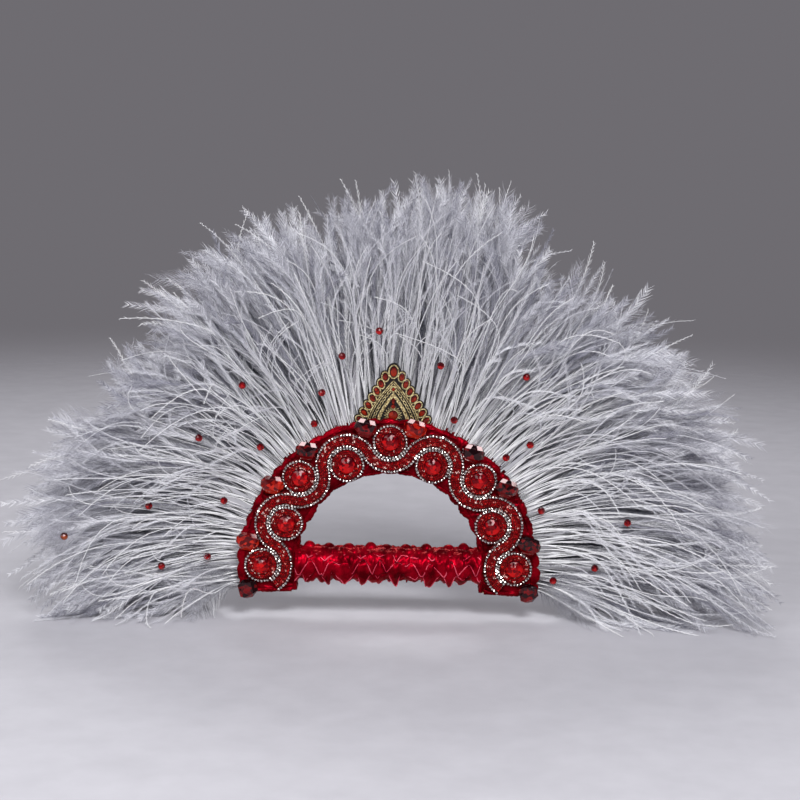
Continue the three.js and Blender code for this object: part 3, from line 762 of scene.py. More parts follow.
def facing_points(side):
    """Cloth over one board: round the inner edge from the slot, then across the face."""
    share = np.linspace(0, 1, 440)[:, None]
    inner = ARCH_INNER_RADIUS
    face = abs(FACE_Y) - 0.4
    profile = np.array([
        (inner + 1.6, 0.12), (inner - 0.1, 0.12), (inner - 0.45, 2.2), (inner - 0.5, face - 1.2),
        (inner + 0.5, face), (ARCH_OUTER_RADIUS - 0.3, face), (ARCH_OUTER_RADIUS + 0.15, face - 0.7),
    ])
    stretches = ((0, 3, 9), (3, 4, 4), (4, 5, 33))
    steps = [np.linspace(start, end, count, endpoint=False) for start, end, count in stretches]
    steps = np.concatenate([*steps, np.linspace(5, 6, 4)])
    radius = np.interp(steps, np.arange(len(profile)), profile[:, 0])
    depth = np.interp(steps, np.arange(len(profile)), profile[:, 1])
    angle = arch_angles(radius, share)
    along = angle * MIDDLE_RADIUS
    gathers = 0.7 * crumple(along, radius, 11, 5, 11) + 0.3 * crumple(along, 0.4 * radius, 12, 2.4, 4.5)
    on_face = smoothstep(radius, inner + 0.4, inner + 3) * smoothstep(depth, face - 0.5, face)
    apart = polar(radius * np.ones_like(share), angle)[:, :, None] - MEDALLIONS * (1, 0, 1)
    pocket = smoothstep(np.linalg.norm(apart, axis=-1).min(axis=-1), WAVE_RADIUS + 2, WAVE_RADIUS + 6)
    depth = depth + FACING_RELIEF * (1 + POCKET_FULLNESS * pocket) * on_face * gathers
    depth = np.maximum(depth, on_face * (abs(BOARD_LOW[1]) + 0.35))
    return polar(radius * np.ones_like(share), angle, side * depth)


def smoothed(values):
    """A running mean that keeps the ends."""
    padded = np.pad(values, SMOOTHING // 2, mode="edge")
    return np.convolve(padded, np.ones(SMOOTHING) / SMOOTHING, "valid")


def rim_path(radius, round_feet):
    """A line along an edge of the arch, taken under both feet as well where asked."""
    line = polar(radius, arch_angles(radius, np.linspace(0, 1, 600)))
    if round_feet:
        inner_x = math.sqrt(ARCH_INNER_RADIUS ** 2 - FOOT_DEPTH ** 2) + 2
        inner_corner = np.array((inner_x, 0, -FOOT_DEPTH))
        line = np.concatenate([[inner_corner], line, [inner_corner * (-1, 1, 1)]])
    line = resample(line, RIM_STEP)
    return np.stack([smoothed(line[:, axis]) for axis in range(3)], axis=-1)


def ruffle_points(side, radius, outward, lobe_height, seed):
    """Ruched ribbon rolled over an edge of the arch, swelling into a lobe at each gather."""
    line = rim_path(radius, outward > 0)
    heading = outward * unit(np.cross((0, 1, 0), np.gradient(line, axis=0)))
    length = RIM_STEP * len(line)
    lobes = int(round(length / LOBE_PITCH))
    share = np.linspace(0, 1, len(line))[:, None]
    roll = RUFFLE_ROLL
    rng = np.random.default_rng(seed)
    shifts = rng.uniform(-GATHER_JITTER, GATHER_JITTER, lobes + 1)
    phase = share * lobes + np.interp(share, np.linspace(0, 1, lobes + 1), shifts)
    size = np.interp(phase, np.arange(lobes + 1), rng.uniform(*GATHER_SIZES, lobes + 1))
    full = smoothstep(0.5 - np.abs(share - 0.5), 0, RUFFLE_RUN_OUT)
    swell = np.abs(np.sin(math.pi * phase)) ** 0.7 * size * full
    creases = full * crumple(share * length, 4 * roll, seed + 1, 1.7, 5.0, 16)
    flare = FOOT_FLARE * smoothstep(np.abs(share - 0.5), 0.3, 0.42) if outward > 0 else 0
    lobe = lobe_height * swell * np.exp(-((roll - 0.25) / 1.1) ** 2)
    reach = RUFFLE_HEIGHT + flare + lobe + 0.34 * creases
    depth = RUFFLE_MIDDLE + (RUFFLE_HALF_DEPTH + 0.6 * swell) * np.sin(roll) + 0.28 * creases
    under_foot = smoothstep(-heading[:, 2:], 0.6, 0.95)
    lift = reach * (1 - 0.5 * under_foot) * np.maximum(np.cos(roll), -0.5) - 0.2
    points = line[:, None] + heading[:, None] * lift[..., None]
    points[..., 1] = side * depth
    return points


def cloth_piece(name, points, material, *nodes):
    """A piece of satin over a grid of points."""
    parts = Parts()
    add_sheet(parts, points, CLOTH_THICKNESS)
    return dress(parts.piece(name, [material]), "satin", *nodes)


def build_facings():
    satin = satin_material("facing_satin", srgb(62, 1, 6), srgb(114, 3, 17))
    for name, side in (("front", -1), ("back", 1)):
        cloth = cloth_piece(f"{name}_satin", facing_points(side), satin, f"{name}_facing")


def build_ruffles():
    satin = satin_material("ruffle_satin", srgb(74, 1, 8), srgb(130, 4, 19))
    for name, side in (("front", -1), ("back", 1)):
        points = ruffle_points(side, ARCH_OUTER_RADIUS + 0.4, 1, LOBE_HEIGHT, 20 + side)
        ribbon = cloth_piece(f"{name}_ruffle", points, satin, f"{name}_edging")
        points = ruffle_points(side, ARCH_INNER_RADIUS - 0.2, -1, INNER_LOBE_HEIGHT, 30 + side)
        ribbon = cloth_piece(f"{name}_inner_ruffle", points, satin)


def handle_point(x, turn, radius):
    """A point round the grip bar; turn is 0 at the front and a quarter turn at the top."""
    return np.stack(np.broadcast_arrays(x, -radius * np.cos(turn), radius * np.sin(turn)), axis=-1)


def handle_wrap():
    """Plain satin round the dowel, with small frills standing along the top."""
    rng = np.random.default_rng(40)
    x = np.linspace(-SLEEVE_HALF_LENGTH, SLEEVE_HALF_LENGTH, RIBBON_STEPS)[:, None]
    turn = np.linspace(0, 2 * math.pi, 73)
    from_top = np.angle(np.exp(1j * (turn - math.pi / 2)))
    count = int(2 * SLEEVE_HALF_LENGTH / FRILL_PITCH)
    places = (np.arange(count) - (count - 1) / 2) * FRILL_PITCH + rng.normal(0, FRILL_JITTER, count)
    bumps = np.zeros_like(x)
    for place in places:
        bumps = bumps + rng.uniform(0.6, 1.0) * np.maximum(1 - ((x - place) / FRILL_WIDTH) ** 2, 0) ** 0.7
    frill = FRILL_HEIGHT * bumps * np.exp(-(from_top / FRILL_TURN) ** 2)
    radius = DOWEL_RADIUS + WRAP_HEIGHT + 0.25 * crumple(x, 10 * turn, 41, 4, 8) + frill
    return handle_point(x, turn, radius)


def ribbon_drop(rng):
    """How far a row's edge hangs along the bar: 1 at a point of its Vs, 0 in the notches."""
    points_along = int(2 * SLEEVE_HALF_LENGTH / RIBBON_PITCH) + 3
    knots = (np.arange(2 * points_along + 1) / 2 - points_along / 2 + rng.uniform(0, 0.5)) * RIBBON_PITCH
    knots = np.sort(knots + rng.normal(0, RIBBON_KNOT_SPREAD * RIBBON_PITCH, len(knots)))
    is_tip = np.arange(len(knots)) % 2
    tips = rng.uniform(*RIBBON_TIP_DROPS, len(knots))
    notches = rng.uniform(*RIBBON_NOTCH_DROPS, len(knots))
    x = np.linspace(-SLEEVE_HALF_LENGTH, SLEEVE_HALF_LENGTH, RIBBON_STEPS)
    drop = np.interp(x, knots, np.where(is_tip, tips, notches))
    rounded = 1 + RIBBON_TIP_SOFTNESS - np.sqrt((1 - drop) ** 2 + RIBBON_TIP_SOFTNESS ** 2)
    return x, np.maximum(rounded, 0) ** 1.5


def ribbon_row(rank, front):
    """One ruched row: tucked under the row above, with a V-pointed lower edge that lifts."""
    seed = 50 + 2 * rank + front
    x, drop = ribbon_drop(np.random.default_rng(seed))
    edge_mm = RIBBON_ROW_WIDTHS[rank] - RIBBON_V_DEPTHS[rank] * (1 - drop)
    share = np.linspace(0, 1, 16)
    around = edge_mm[:, None] * share
    turn = math.radians(RIBBON_ROW_STARTS[rank]) - around / (DOWEL_RADIUS + ROW_MIDDLE)
    folds = crumple(x[:, None], 0.6 * around, seed + 20, 3.2, 7)
    fine = crumple(x[:, None], around, seed + 40, 1.6, 3.0)
    puff = np.sin(math.pi * share) * (0.5 + 1.3 * drop[:, None])
    lift = 0.2 + (0.6 + RIBBON_TIP_LIFTS[rank] * drop[:, None]) * share ** 3
    lift = lift - RIBBON_TUCK * (1 - smoothstep(share, 0, 0.2))
    relief = np.minimum(share * 4, 1) * (0.55 * folds + 0.12 * fine)
    if not front:
        turn = math.pi - turn
    return handle_point(x[:, None], turn, DOWEL_RADIUS + ROW_HEIGHT + puff + lift + relief), drop


def build_handle():
    satin = satin_material("handle_satin", srgb(76, 0, 8), srgb(146, 3, 23))
    # Pale pink satin for the rows' edges: a painted highlight where the edges catch the light
    edge = satin_material("ribbon_edge_highlight", srgb(176, 26, 54), srgb(236, 96, 118))
    wrap = cloth_piece("handle_wrap", handle_wrap(), satin, "handle_ribbon")
    parts = Parts()
    rows = [(rank, front) for front in (True, False) for rank in range(len(RIBBON_V_DEPTHS))]
    for rank, front in rows:
        points, drop = ribbon_row(rank, front)
        add_sheet(parts, points, CLOTH_THICKNESS)
        # A cord along each row's lower edge carries its painted highlight, thickest at the points of the
        # Vs
        highlight_radius = 0.05 + EDGE_HIGHLIGHT_RADIUS * smoothstep(drop[::2], 0.08, 0.45)
        add_tube(parts, points[::2, -1], highlight_radius, 5, slot=1)
    ruching = dress(parts.piece("handle_ruching", [satin, edge]), "satin")


# Beaded trim: seed beads and silver rhinestones along the serpentine and round the medallions
BEAD_DIAMETER = 1.3
BEAD_HOLE = 0.13
BEAD_LENGTH = 1.15
BEAD_ROUND, BEAD_SIDES = 8, 5
BEAD_ROWS = 4
BEAD_RINGS = (8.75, 7.4, 6.1)
BEAD_LIFT = 0.55
BEAD_JITTER = (0.13, 0.16, 0.13)
BEAD_TILT, RHINESTONE_TILT = 0.9, 0.36
BACKING_DEPTH = 0.9
STONE_PITCH = 2.05
CUP_RADIUS, CUP_SIDES, CUP_LIFT = 1.05, 8, 0.3
GEM_RADIUS, GEM_HEIGHT, GEM_LIFT = 0.94, 1.05, 0.55
ARC_STEPS, CIRCLE_STEPS = 24, 96


def centre_of(node):
    low, high = node_box(node)
    return (low + high) / 2


MEDALLIONS = np.array([centre_of(f"medallion_stone_{i + 1}") for i in range(MEDALLION_COUNT)])
WAVE_RADIUS = math.hypot(*(MEDALLIONS[1] - MEDALLIONS[0])[[0, 2]]) / 2
BAND_WIDTH = 2 * (WAVE_RADIUS - MEDALLION_RADIUS + ROW_CONTACT)
END_SWEEP = math.asin(min(FOOT_DEPTH / (WAVE_RADIUS + BAND_WIDTH / 2), 1))
BACKING_FRONT_Y = TRIM_Y - BACKING_DEPTH


def serpentine(shift, y):
    """The band's line, moved sideways by shift: tangent arcs round the medallions in turn."""
    path = []
    for index, centre in enumerate(MEDALLIONS):
        inner = index % 2
        passing = math.pi * index / (MEDALLION_COUNT - 1) + (0 if inner else math.pi)

        def sweep(neighbour):
            step = MEDALLIONS[neighbour] - centre
            return np.angle(np.exp(1j * (math.atan2(step[2], step[0]) - passing)))

        start = END_SWEEP if index == 0 else sweep(index - 1)
        end = -END_SWEEP if index == MEDALLION_COUNT - 1 else sweep(index + 1)
        angle = passing + np.linspace(start, end, ARC_STEPS + 1)[1 if index else 0:]
        radius = WAVE_RADIUS + (shift if inner else -shift)
        path.append(polar(radius, angle, y) + centre * (1, 0, 1))
    return np.concatenate(path)


def circle(centre, radius, y):
    angle = np.linspace(0, 2 * math.pi, CIRCLE_STEPS + 1)[:-1]
    return polar(radius, angle, y) + np.asarray(centre) * (1, 0, 1)


def seed_bead():
    """A small bead with its hole, as a ring about the third axis."""
    outer, hole = BEAD_DIAMETER / 2, BEAD_DIAMETER * BEAD_HOLE
    tube, middle = (outer - hole) / 2, (outer + hole) / 2
    turn = 2 * math.pi * np.arange(BEAD_ROUND)[:, None] / BEAD_ROUND
    roll = 2 * math.pi * np.arange(BEAD_SIDES) / BEAD_SIDES
    reach = middle + tube * np.cos(roll)
    height = np.broadcast_to(tube * BEAD_LENGTH * np.sin(roll), (BEAD_ROUND, BEAD_SIDES))
    points = np.stack([reach * np.cos(turn), reach * np.sin(turn), height], axis=-1)
    return points.reshape(-1, 3), grid_quads(BEAD_ROUND, BEAD_SIDES, True, True)


def bead_places(rng):
    """Where the seed beads lie: rows along the band and three rings inside each medallion."""
    y = BACKING_FRONT_Y - BEAD_LIFT
    row_pitch = (BAND_WIDTH - 2 * CHAIN_WIDTH) / BEAD_ROWS
    rows = [serpentine((row - (BEAD_ROWS - 1) / 2) * row_pitch, y) for row in range(BEAD_ROWS)]
    places = [resample(row, BEAD_DIAMETER) for row in rows]
    for centre in MEDALLIONS:
        for radius in BEAD_RINGS:
            places.append(resample(circle(centre, radius, y), BEAD_DIAMETER, closed=True))
    places = np.concatenate(places)
    return places + rng.normal(0, 1, places.shape) * BEAD_JITTER


def felt_backing(parts, slot):
    """Felt under the beads: a ribbon along the band and a disc under each medallion."""
    half = BAND_WIDTH / 2
    y = (TRIM_Y + BACKING_FRONT_Y) / 2
    band = np.stack([serpentine(shift, y) for shift in np.linspace(-half, half, 5)], axis=1)
    add_sheet(parts, band, BACKING_DEPTH, slot)
    reach = np.linspace(0.02, 1, 5) * MEDALLION_RADIUS
    turn = np.linspace(0, 2 * math.pi, 49)[:, None]
    for centre in MEDALLIONS:
        add_sheet(parts, polar(reach, turn, y - 0.02) + centre * (1, 0, 1), BACKING_DEPTH, slot)


def bead_material():
    """Red glass beads that differ a little at random, with a few pale and orange cells as painted glints.
    """
    tint = srgb(255, 130, 120)
    surface = Surface("seed_beads", Roughness=0.16, Specular_IOR_Level=0.6, Specular_Tint=tint)
    # The pale and orange cells at the top of the ramp are painted glints
    tone = surface.ramp(
        surface.cells(760.0), (0.0, srgb(80, 1, 6)), (0.45, srgb(128, 3, 12)), (0.84, srgb(172, 9, 19)),
        (0.92, srgb(208, 34, 26)), (0.97, srgb(250, 214, 206)),
    )
    surface.feed("Base Color", tone)
    return surface.material


def build_beads():
    rng = np.random.default_rng(7)
    parts = Parts()
    places = bead_places(rng)
    add_copies(parts, seed_bead(), places, turned(rng, len(places), BEAD_TILT))
    felt_backing(parts, 1)
    felt = fibre_material(
        "felt", srgb(70, 1, 5), srgb(104, 4, 10), (900, 6), (0.6, 0.3),
        Roughness=0.9, Specular_IOR_Level=0.2,
    )
    dress(parts.piece("bead_work", [bead_material(), felt]), "seed_beads", "bead_embroidery")


def rings_mesh(rings):
    """Skin over stacked rings of equal count, with flat ends."""
    sides = len(rings[0])
    points = np.concatenate(rings)
    faces = []
    for level in range(len(rings) - 1):
        low = level * sides + np.arange(sides)
        high = low + sides
        low_next = level * sides + (np.arange(sides) + 1) % sides
        high_next = low_next + sides
        faces += [np.stack([low, low_next, high], -1), np.stack([low_next, high_next, high], -1)]
    top = (len(rings) - 1) * sides
    middle = np.arange(1, sides - 1)
    faces.append(np.stack([0 * middle, middle + 1, middle], -1))
    faces.append(np.stack([0 * middle + top, middle + top, middle + top + 1], -1))
    return points, np.concatenate(faces)


def ring(radius, height, sides, offset=0.0):
    turn = 2 * math.pi * (np.arange(sides) + offset) / sides
    return np.stack([radius * np.cos(turn), radius * np.sin(turn), np.full(sides, height)], axis=-1)


def cut_gem(radius, height, sides):
    """A cut stone on a flat back: girdle, two tiers of crown facets and a table."""
    return rings_mesh([
        ring(0.78 * radius, 0, sides),
        ring(radius, 0.3 * height, sides, 0.5),
        ring(0.98 * radius, 0.42 * height, sides, 0.5),
        ring(0.82 * radius, 0.74 * height, sides, 1.0),
        ring(0.5 * radius, height, sides, 1.5),
    ])


def metal_material(name, color, roughness, wear_and_shade_share=0.72):
    surface = Surface(name, Metallic=1.0)
    place = surface.place()
    # Darker patches at random: wear on the metal, and on the foiled crystals painted shade, so that some
    # stones shine less than others
    tone = surface.noise(place, 500, 3)
    worn_and_shaded = tuple(wear_and_shade_share * channel for channel in color[:3]) + (1.0,)
    surface.feed("Base Color", surface.ramp(tone, (0.3, worn_and_shaded), (0.6, color)))
    surface.feed("Roughness", surface.math("MULTIPLY", tone, 2 * roughness))
    return surface.material


def build_rhinestones():
    tiers = ((0.75, 0), (1, 0.45), (0.9, 0.85))
    cup = rings_mesh([ring(share * CUP_RADIUS, height, CUP_SIDES) for share, height in tiers])
    gem = cut_gem(GEM_RADIUS, GEM_HEIGHT, CUP_SIDES)
    silver = metal_material("silver_cup", srgb(58, 56, 58), 0.3)
    # The foiled crystals' darker patches are painted shade, so that some stones sparkle less than others
    crystal = metal_material("foiled_crystal", srgb(248, 240, 236), 0.12, 0.5)
    rng = np.random.default_rng(8)
    back = BACKING_FRONT_Y - CUP_LIFT
    for name, first, shift in (("outer", 0, 1), ("inner", 1, -1)):
        places = [resample(serpentine(shift * (BAND_WIDTH - CHAIN_WIDTH) / 2, back), STONE_PITCH)]
        for centre in MEDALLIONS[first::2]:
            around = circle(centre, MEDALLION_RADIUS - CHAIN_WIDTH / 2, back)
            places.append(resample(around, STONE_PITCH, closed=True))
        places = np.concatenate(places)
        parts = Parts()
        frames = turned(rng, len(places), RHINESTONE_TILT)
        add_copies(parts, cup, places, frames, 0)
        add_copies(parts, gem, places + (0, -GEM_LIFT, 0), frames, 1)
        piece = parts.piece(f"rhinestones_{name}", [silver, crystal], smooth=False)
        dress(piece, "rhinestones", f"rhinestone_row_{name}")


# Stones
STONE_SIDES = 12
STONE_SPREAD = 0.5
STONE_LIFT = 0.25
STONE_SPIN_SPREAD, CRYSTAL_SPIN_SPREAD = 0.08, 0.1
FOIL_SHARE, FOIL_HEIGHT, FOIL_SIDES = 0.95, 0.2, 24
CRYSTAL_COUNT = 10
FOOT_CRYSTALS = (1, CRYSTAL_COUNT)
# The same red glass in two looks: the crystals listed are painted lit through, orange-red, and the others
# painted dark, in shade
LIT_THROUGH_CRYSTALS = (5, 8, 9)
CRYSTAL_ACROSS, FOOT_CRYSTAL_ACROSS, CRYSTAL_UP = 1.2, 1.0, 1.02
GLINT_SLOPE = 0.464
GLINT_SPIN = math.radians(-12.6)
FOOT_CRYSTAL_SPIN = math.radians(120)


def glass_material(name, glow, body, shade, gloss):
    """Cut glass: painted light at its lower facets, its darker body colour between, painted shade at its
    upper facets, and painted sparkle that differs from cut to cut.
    """
    surface = Surface(name, Roughness=0.05, Specular_IOR_Level=gloss, Specular_Tint=srgb(255, 220, 222))
    normal = surface.node("ShaderNodeNewGeometry").outputs["Normal"]
    up = surface.node("ShaderNodeSeparateXYZ", {"Vector": normal}).outputs["Z"]
    # Painted light and shade: down-facing facets take the glow, up-facing ones the shade, shifted from
    # cell to cell as painted sparkle
    mixed = surface.math("MULTIPLY", surface.math("ADD", up, surface.cells(460.0)), 0.5)
    surface.feed("Base Color", surface.ramp(mixed, (0.0, glow), (0.25, body), (0.6, shade)))
    return surface.material


def seat(node, spin):
    """A frame at the back of a solid, third axis to the front, and the solid's radius and height."""
    low, high = node_box(node)
    side = np.array([math.cos(spin), 0, math.sin(spin)])
    outward = np.array([0, -1.0, 0])
    frames = np.stack([side, np.cross(outward, side), outward], axis=-1)[None]
    x, _, z = (low + high) / 2
    return frames, np.array([[x, high[1], z]]), (high[0] - low[0]) / 2, high[1] - low[1]


def domed_gem(radius, height, sides):
    """A domed stone on a flat back, with three tiers of facets up to a small table."""
    crown = height - GLINT_SLOPE * 0.35 * radius
    return rings_mesh([
        ring(0.9 * radius, 0, sides),
        ring(radius, 0.22 * height, sides, 0.5),
        ring(0.88 * radius, 0.56 * height, sides, 1.0),
        ring(0.64 * radius, crown, sides, 1.5),
        ring(0.3 * radius, height, sides, 2.0),
    ])


def build_stones():
    glass = glass_material("red_stone", srgb(196, 18, 20), srgb(112, 3, 11), srgb(58, 1, 7), 0.2)
    foil = metal_material("stone_foil", srgb(150, 30, 34), 0.25)
    rng = np.random.default_rng(9)
    for number in range(1, MEDALLION_COUNT + 1):
        node = f"medallion_stone_{number}"
        frames, places, radius, height = seat(node, GLINT_SPIN + rng.normal(0, STONE_SPIN_SPREAD))
        radius = radius + STONE_SPREAD
        parts = Parts()
        gem = domed_gem(radius, height, STONE_SIDES)
        add_copies(parts, gem, places + (0, -STONE_LIFT, 0), frames)
        backing = rings_mesh([ring(FOIL_SHARE * radius, level, FOIL_SIDES) for level in (0, FOIL_HEIGHT)])
        add_copies(parts, backing, places, frames, 1)
        dress(parts.piece(f"stone_{number}", [glass, foil], smooth=False), "red_glass", node)


def crystal_mesh(across, up, height):
    """A wide cut bead on a flat back. Two facets at its top have the slope that takes the key light."""
    table, crown, notch = 0.5, 0.88, 0.66
    crown_height = height - GLINT_SLOPE * up * (crown - table)
    notch_height = height - GLINT_SLOPE * up * (notch - table) + 0.1 * height
    rim = [
        (1, 0.28, 0.5 * height), (0.6, crown, crown_height), (0.16, crown, crown_height),
        (-0.16, crown, crown_height), (-0.6, crown, crown_height), (-1, 0.28, 0.5 * height),
        (-1, -0.3, 0.42 * height), (-0.46, -1, 0.36 * height), (0.46, -1, 0.36 * height),
        (1, -0.3, 0.42 * height),
    ]
    face = [(-0.78, table, height), (-0.3, table, height), (0.3, table, height), (0.78, table, height)]
    face += [(0.58, -0.5, 0.97 * height), (-0.58, -0.5, 0.97 * height)]
    peaks = [(0, -0.1, 1.06 * height), (0, notch, notch_height)]
    foot = [(0.8 * x, 0.8 * y, 0) for x, y, _ in rim]
    points = np.array(rim + face + peaks + foot) * (across, up, 1)
    polygons = [(10, 11, 3, 4), (12, 13, 1, 2), (11, 12, 17), (12, 2, 17), (2, 3, 17), (3, 11, 17)]
    polygons += [(10, 15, 16), (15, 14, 16), (14, 13, 16), (13, 12, 16), (12, 11, 16), (11, 10, 16)]
    polygons += [(14, 9, 13), (9, 0, 13), (0, 1, 13), (14, 8, 9), (15, 7, 8, 14)]
    polygons += [(10, 6, 15), (10, 5, 6), (10, 4, 5), (15, 6, 7)]
    count, base = len(rim), len(points) - len(foot)
    for here in range(count):
        after = (here + 1) % count
        polygons.append((base + here, base + after, after, here))
    polygons.append(tuple(base + here for here in reversed(range(count))))
    faces = [(corners[0], *pair) for corners in polygons for pair in zip(corners[1:], corners[2:])]
    return points, np.array(faces)


def build_crystals():
    # Painted light and shade: one red glass, lit through for some crystals and dark for the rest
    dark = glass_material("shaded_crystal", srgb(112, 6, 10), srgb(24, 1, 4), srgb(12, 1, 3), 0.4)
    lit_through = glass_material("lit_through_crystal", srgb(184, 32, 14), srgb(98, 5, 8), srgb(44, 1, 4), 0.36)
    rng = np.random.default_rng(10)
    for number in range(1, CRYSTAL_COUNT + 1):
        node = f"rim_crystal_{number}"
        at_foot = number in FOOT_CRYSTALS
        spin = GLINT_SPIN + rng.normal(0, CRYSTAL_SPIN_SPREAD) + (FOOT_CRYSTAL_SPIN if at_foot else 0)
        frames, places, radius, height = seat(node, spin)
        across = (FOOT_CRYSTAL_ACROSS if at_foot else CRYSTAL_ACROSS) * radius
        parts = Parts()
        add_copies(parts, crystal_mesh(across, CRYSTAL_UP * radius, height), places, frames)
        material = lit_through if number in LIT_THROUGH_CRYSTALS else dark
        dress(parts.piece(f"crystal_{number}", [material], smooth=False), "red_glass", node)


# Applique: gold cord, chain braid and red stones on a dark gothic patch
PATCH_BASE_Z = ARCH_OUTER_RADIUS + 2.0
PATCH_FACE = 0.5
PATCH_SHIFT = 1.5
LOBES_PER_SIDE = 7
FIRST_LOBE, LAST_LOBE = np.array((5.3, 28.4)), np.array((21.4, -0.6))
APEX_LOBE = np.array((0, 31.8))
LOBE_SIZE, APEX_LOBE_SIZE = 2.16, 2.9
LOBE_TILT, LOBE_TURN = 0.12, 0.7
CLOTH_SLOT, GOLD_SLOT, STONE_SLOT = range(3)
CORD_SIDES, CORD_LIFT, LINK_LIFT = 6, 0.35, 0.3
CORD_FOOT, CORD_STEPS = -2.0, 40
PATCH_GEM_SIDES, PATCH_GEM_LIFT, PATCH_GEM_HEIGHT = 10, 0.25, 0.9
PLATE_SIDES, PLATE_TOP, PLATE_BACK = 24, 0.1, -0.6
KEYSTONE, ROSE = (0, 20.2), (0, 2.6)
PETAL_CORNERS = 27

# Pointed arches of gold cord: half width, apex and radius of the cord
CORD_ARCHES = [
    (16.6, 25.8, 0.36), (15.3, 24.2, 0.32), (10.4, 17.4, 0.46), (9.7, 16.5, 0.46), (9.0, 15.5, 0.46),
]


def on_patch(x, height, lift=0.0):
    """A point on the patch: across, up from the rim, and lifted off its face."""
    x, height, lift = np.broadcast_arrays(x, height, lift)
    y = PATCH_Y - PATCH_FACE - np.maximum(height, 0) * PATCH_SLOPE - lift
    return np.stack([x + PATCH_SHIFT, y, PATCH_BASE_Z + height + lift * PATCH_SLOPE], axis=-1)


def gothic(half_width, apex):
    """A pointed arch: up one side to the apex and down the other."""
    height = np.linspace(CORD_FOOT, apex, CORD_STEPS)
    rise = (height - CORD_FOOT) / (apex - CORD_FOOT)
    x = half_width * (1 - rise ** 1.5)
    return np.concatenate([np.stack([-x, height], -1), np.stack([x, height], -1)[-2::-1]])


def tilted(centre, u, v, tilt):
    """Points across and up from a centre, turned in the patch's face."""
    c, s = math.cos(tilt), math.sin(tilt)
    return np.stack([centre[0] + c * u - s * v, centre[1] + s * u + c * v], axis=-1)


def ellipse(centre, across, up, tilt=0.0, steps=28):
    turn = np.linspace(0, 2 * math.pi, steps + 1)[:-1]
    return tilted(centre, across * np.cos(turn), up * np.sin(turn), tilt)


def patch_gem(parts, centre, across, up, tilt=0.0):
    """A small oval stone, faceted, lying on the patch."""
    points, faces = cut_gem(1.0, 1.0, PATCH_GEM_SIDES)
    place = tilted(centre, across * points[:, 0], up * points[:, 1], tilt)
    lift = PATCH_GEM_LIFT + PATCH_GEM_HEIGHT * points[:, 2]
    parts.add(on_patch(*place.T, lift), faces, STONE_SLOT)


def patch_cord(parts, path, radius, lift=CORD_LIFT, closed=False):
    add_tube(parts, on_patch(*path.T, lift), radius, CORD_SIDES, GOLD_SLOT, closed)


def patch_plate(parts, centre, across, up, tilt):
    """A thin oval plate of cloth."""
    rim = ellipse(centre, across, up, tilt, PLATE_SIDES)
    points, faces = rings_mesh([ring(1, 0, PLATE_SIDES), ring(1, 1, PLATE_SIDES)])
    lift = np.where(points[:, 2] > 0.5, PLATE_TOP, PLATE_BACK)
    parts.add(on_patch(*np.tile(rim.T, 2), lift), faces, CLOTH_SLOT)


def jewelled_lobe(parts, centre, size, tilt):
    """An oval stone in a round of gold cord on the dark ground."""
    patch_plate(parts, centre, 1.62 * size, 2.1 * size, tilt)
    patch_gem(parts, centre, 0.74 * size, 1.14 * size, tilt)
    patch_cord(parts, ellipse(centre, 1.06 * size, 1.5 * size, tilt), 0.42, LINK_LIFT, closed=True)


def patch_ground(parts):
    """Dark cloth under the goldwork, tucked behind the rim."""
    height = np.linspace(PATCH_FOOT_Z - PATCH_BASE_Z, APEX_LOBE[1], 60)[:, None]
    rise = np.clip(height / APEX_LOBE[1], 0, 1)
    half = LAST_LOBE[0] * (1 - rise) + 0.6
    add_sheet(parts, on_patch(half * np.linspace(-1, 1, 25), height, -0.35), 0.7, CLOTH_SLOT)


def chain_braid(parts):
    """Small linked rings up each side, between the cords."""
    line = gothic(12.9, 21.4)
    links = resample(np.stack([line[:, 0], 0 * line[:, 0], line[:, 1]], -1), 2.9)
    for before, link, after in zip(links[:-2], links[1:-1], links[2:]):
        tilt = math.atan2(*(after - before)[[2, 0]]) - math.pi / 2
        patch_cord(parts, ellipse(link[[0, 2]], 0.72, 1.5, tilt, 16), 0.27, LINK_LIFT, closed=True)


def centre_motif(parts):
    """A finial over a round stone with pointed gold petals."""
    for centre, across, up in (((0, 12.2), 1.0, 2.2), ((0, 8.6), 1.4, 1.5), (ROSE, 3.1, 3.3)):
        patch_gem(parts, centre, across, up)
    turn = np.linspace(-0.15 * math.pi, 1.15 * math.pi, PETAL_CORNERS)
    reach = np.where(np.arange(PETAL_CORNERS) % 2, 6.0, 4.1)
    petals = np.stack([0.95 * reach * np.cos(turn), ROSE[1] + reach * np.sin(turn)], axis=-1)
    patch_cord(parts, petals, 0.3)
    patch_cord(parts, ellipse(ROSE, 3.5, 3.7), 0.25, closed=True)


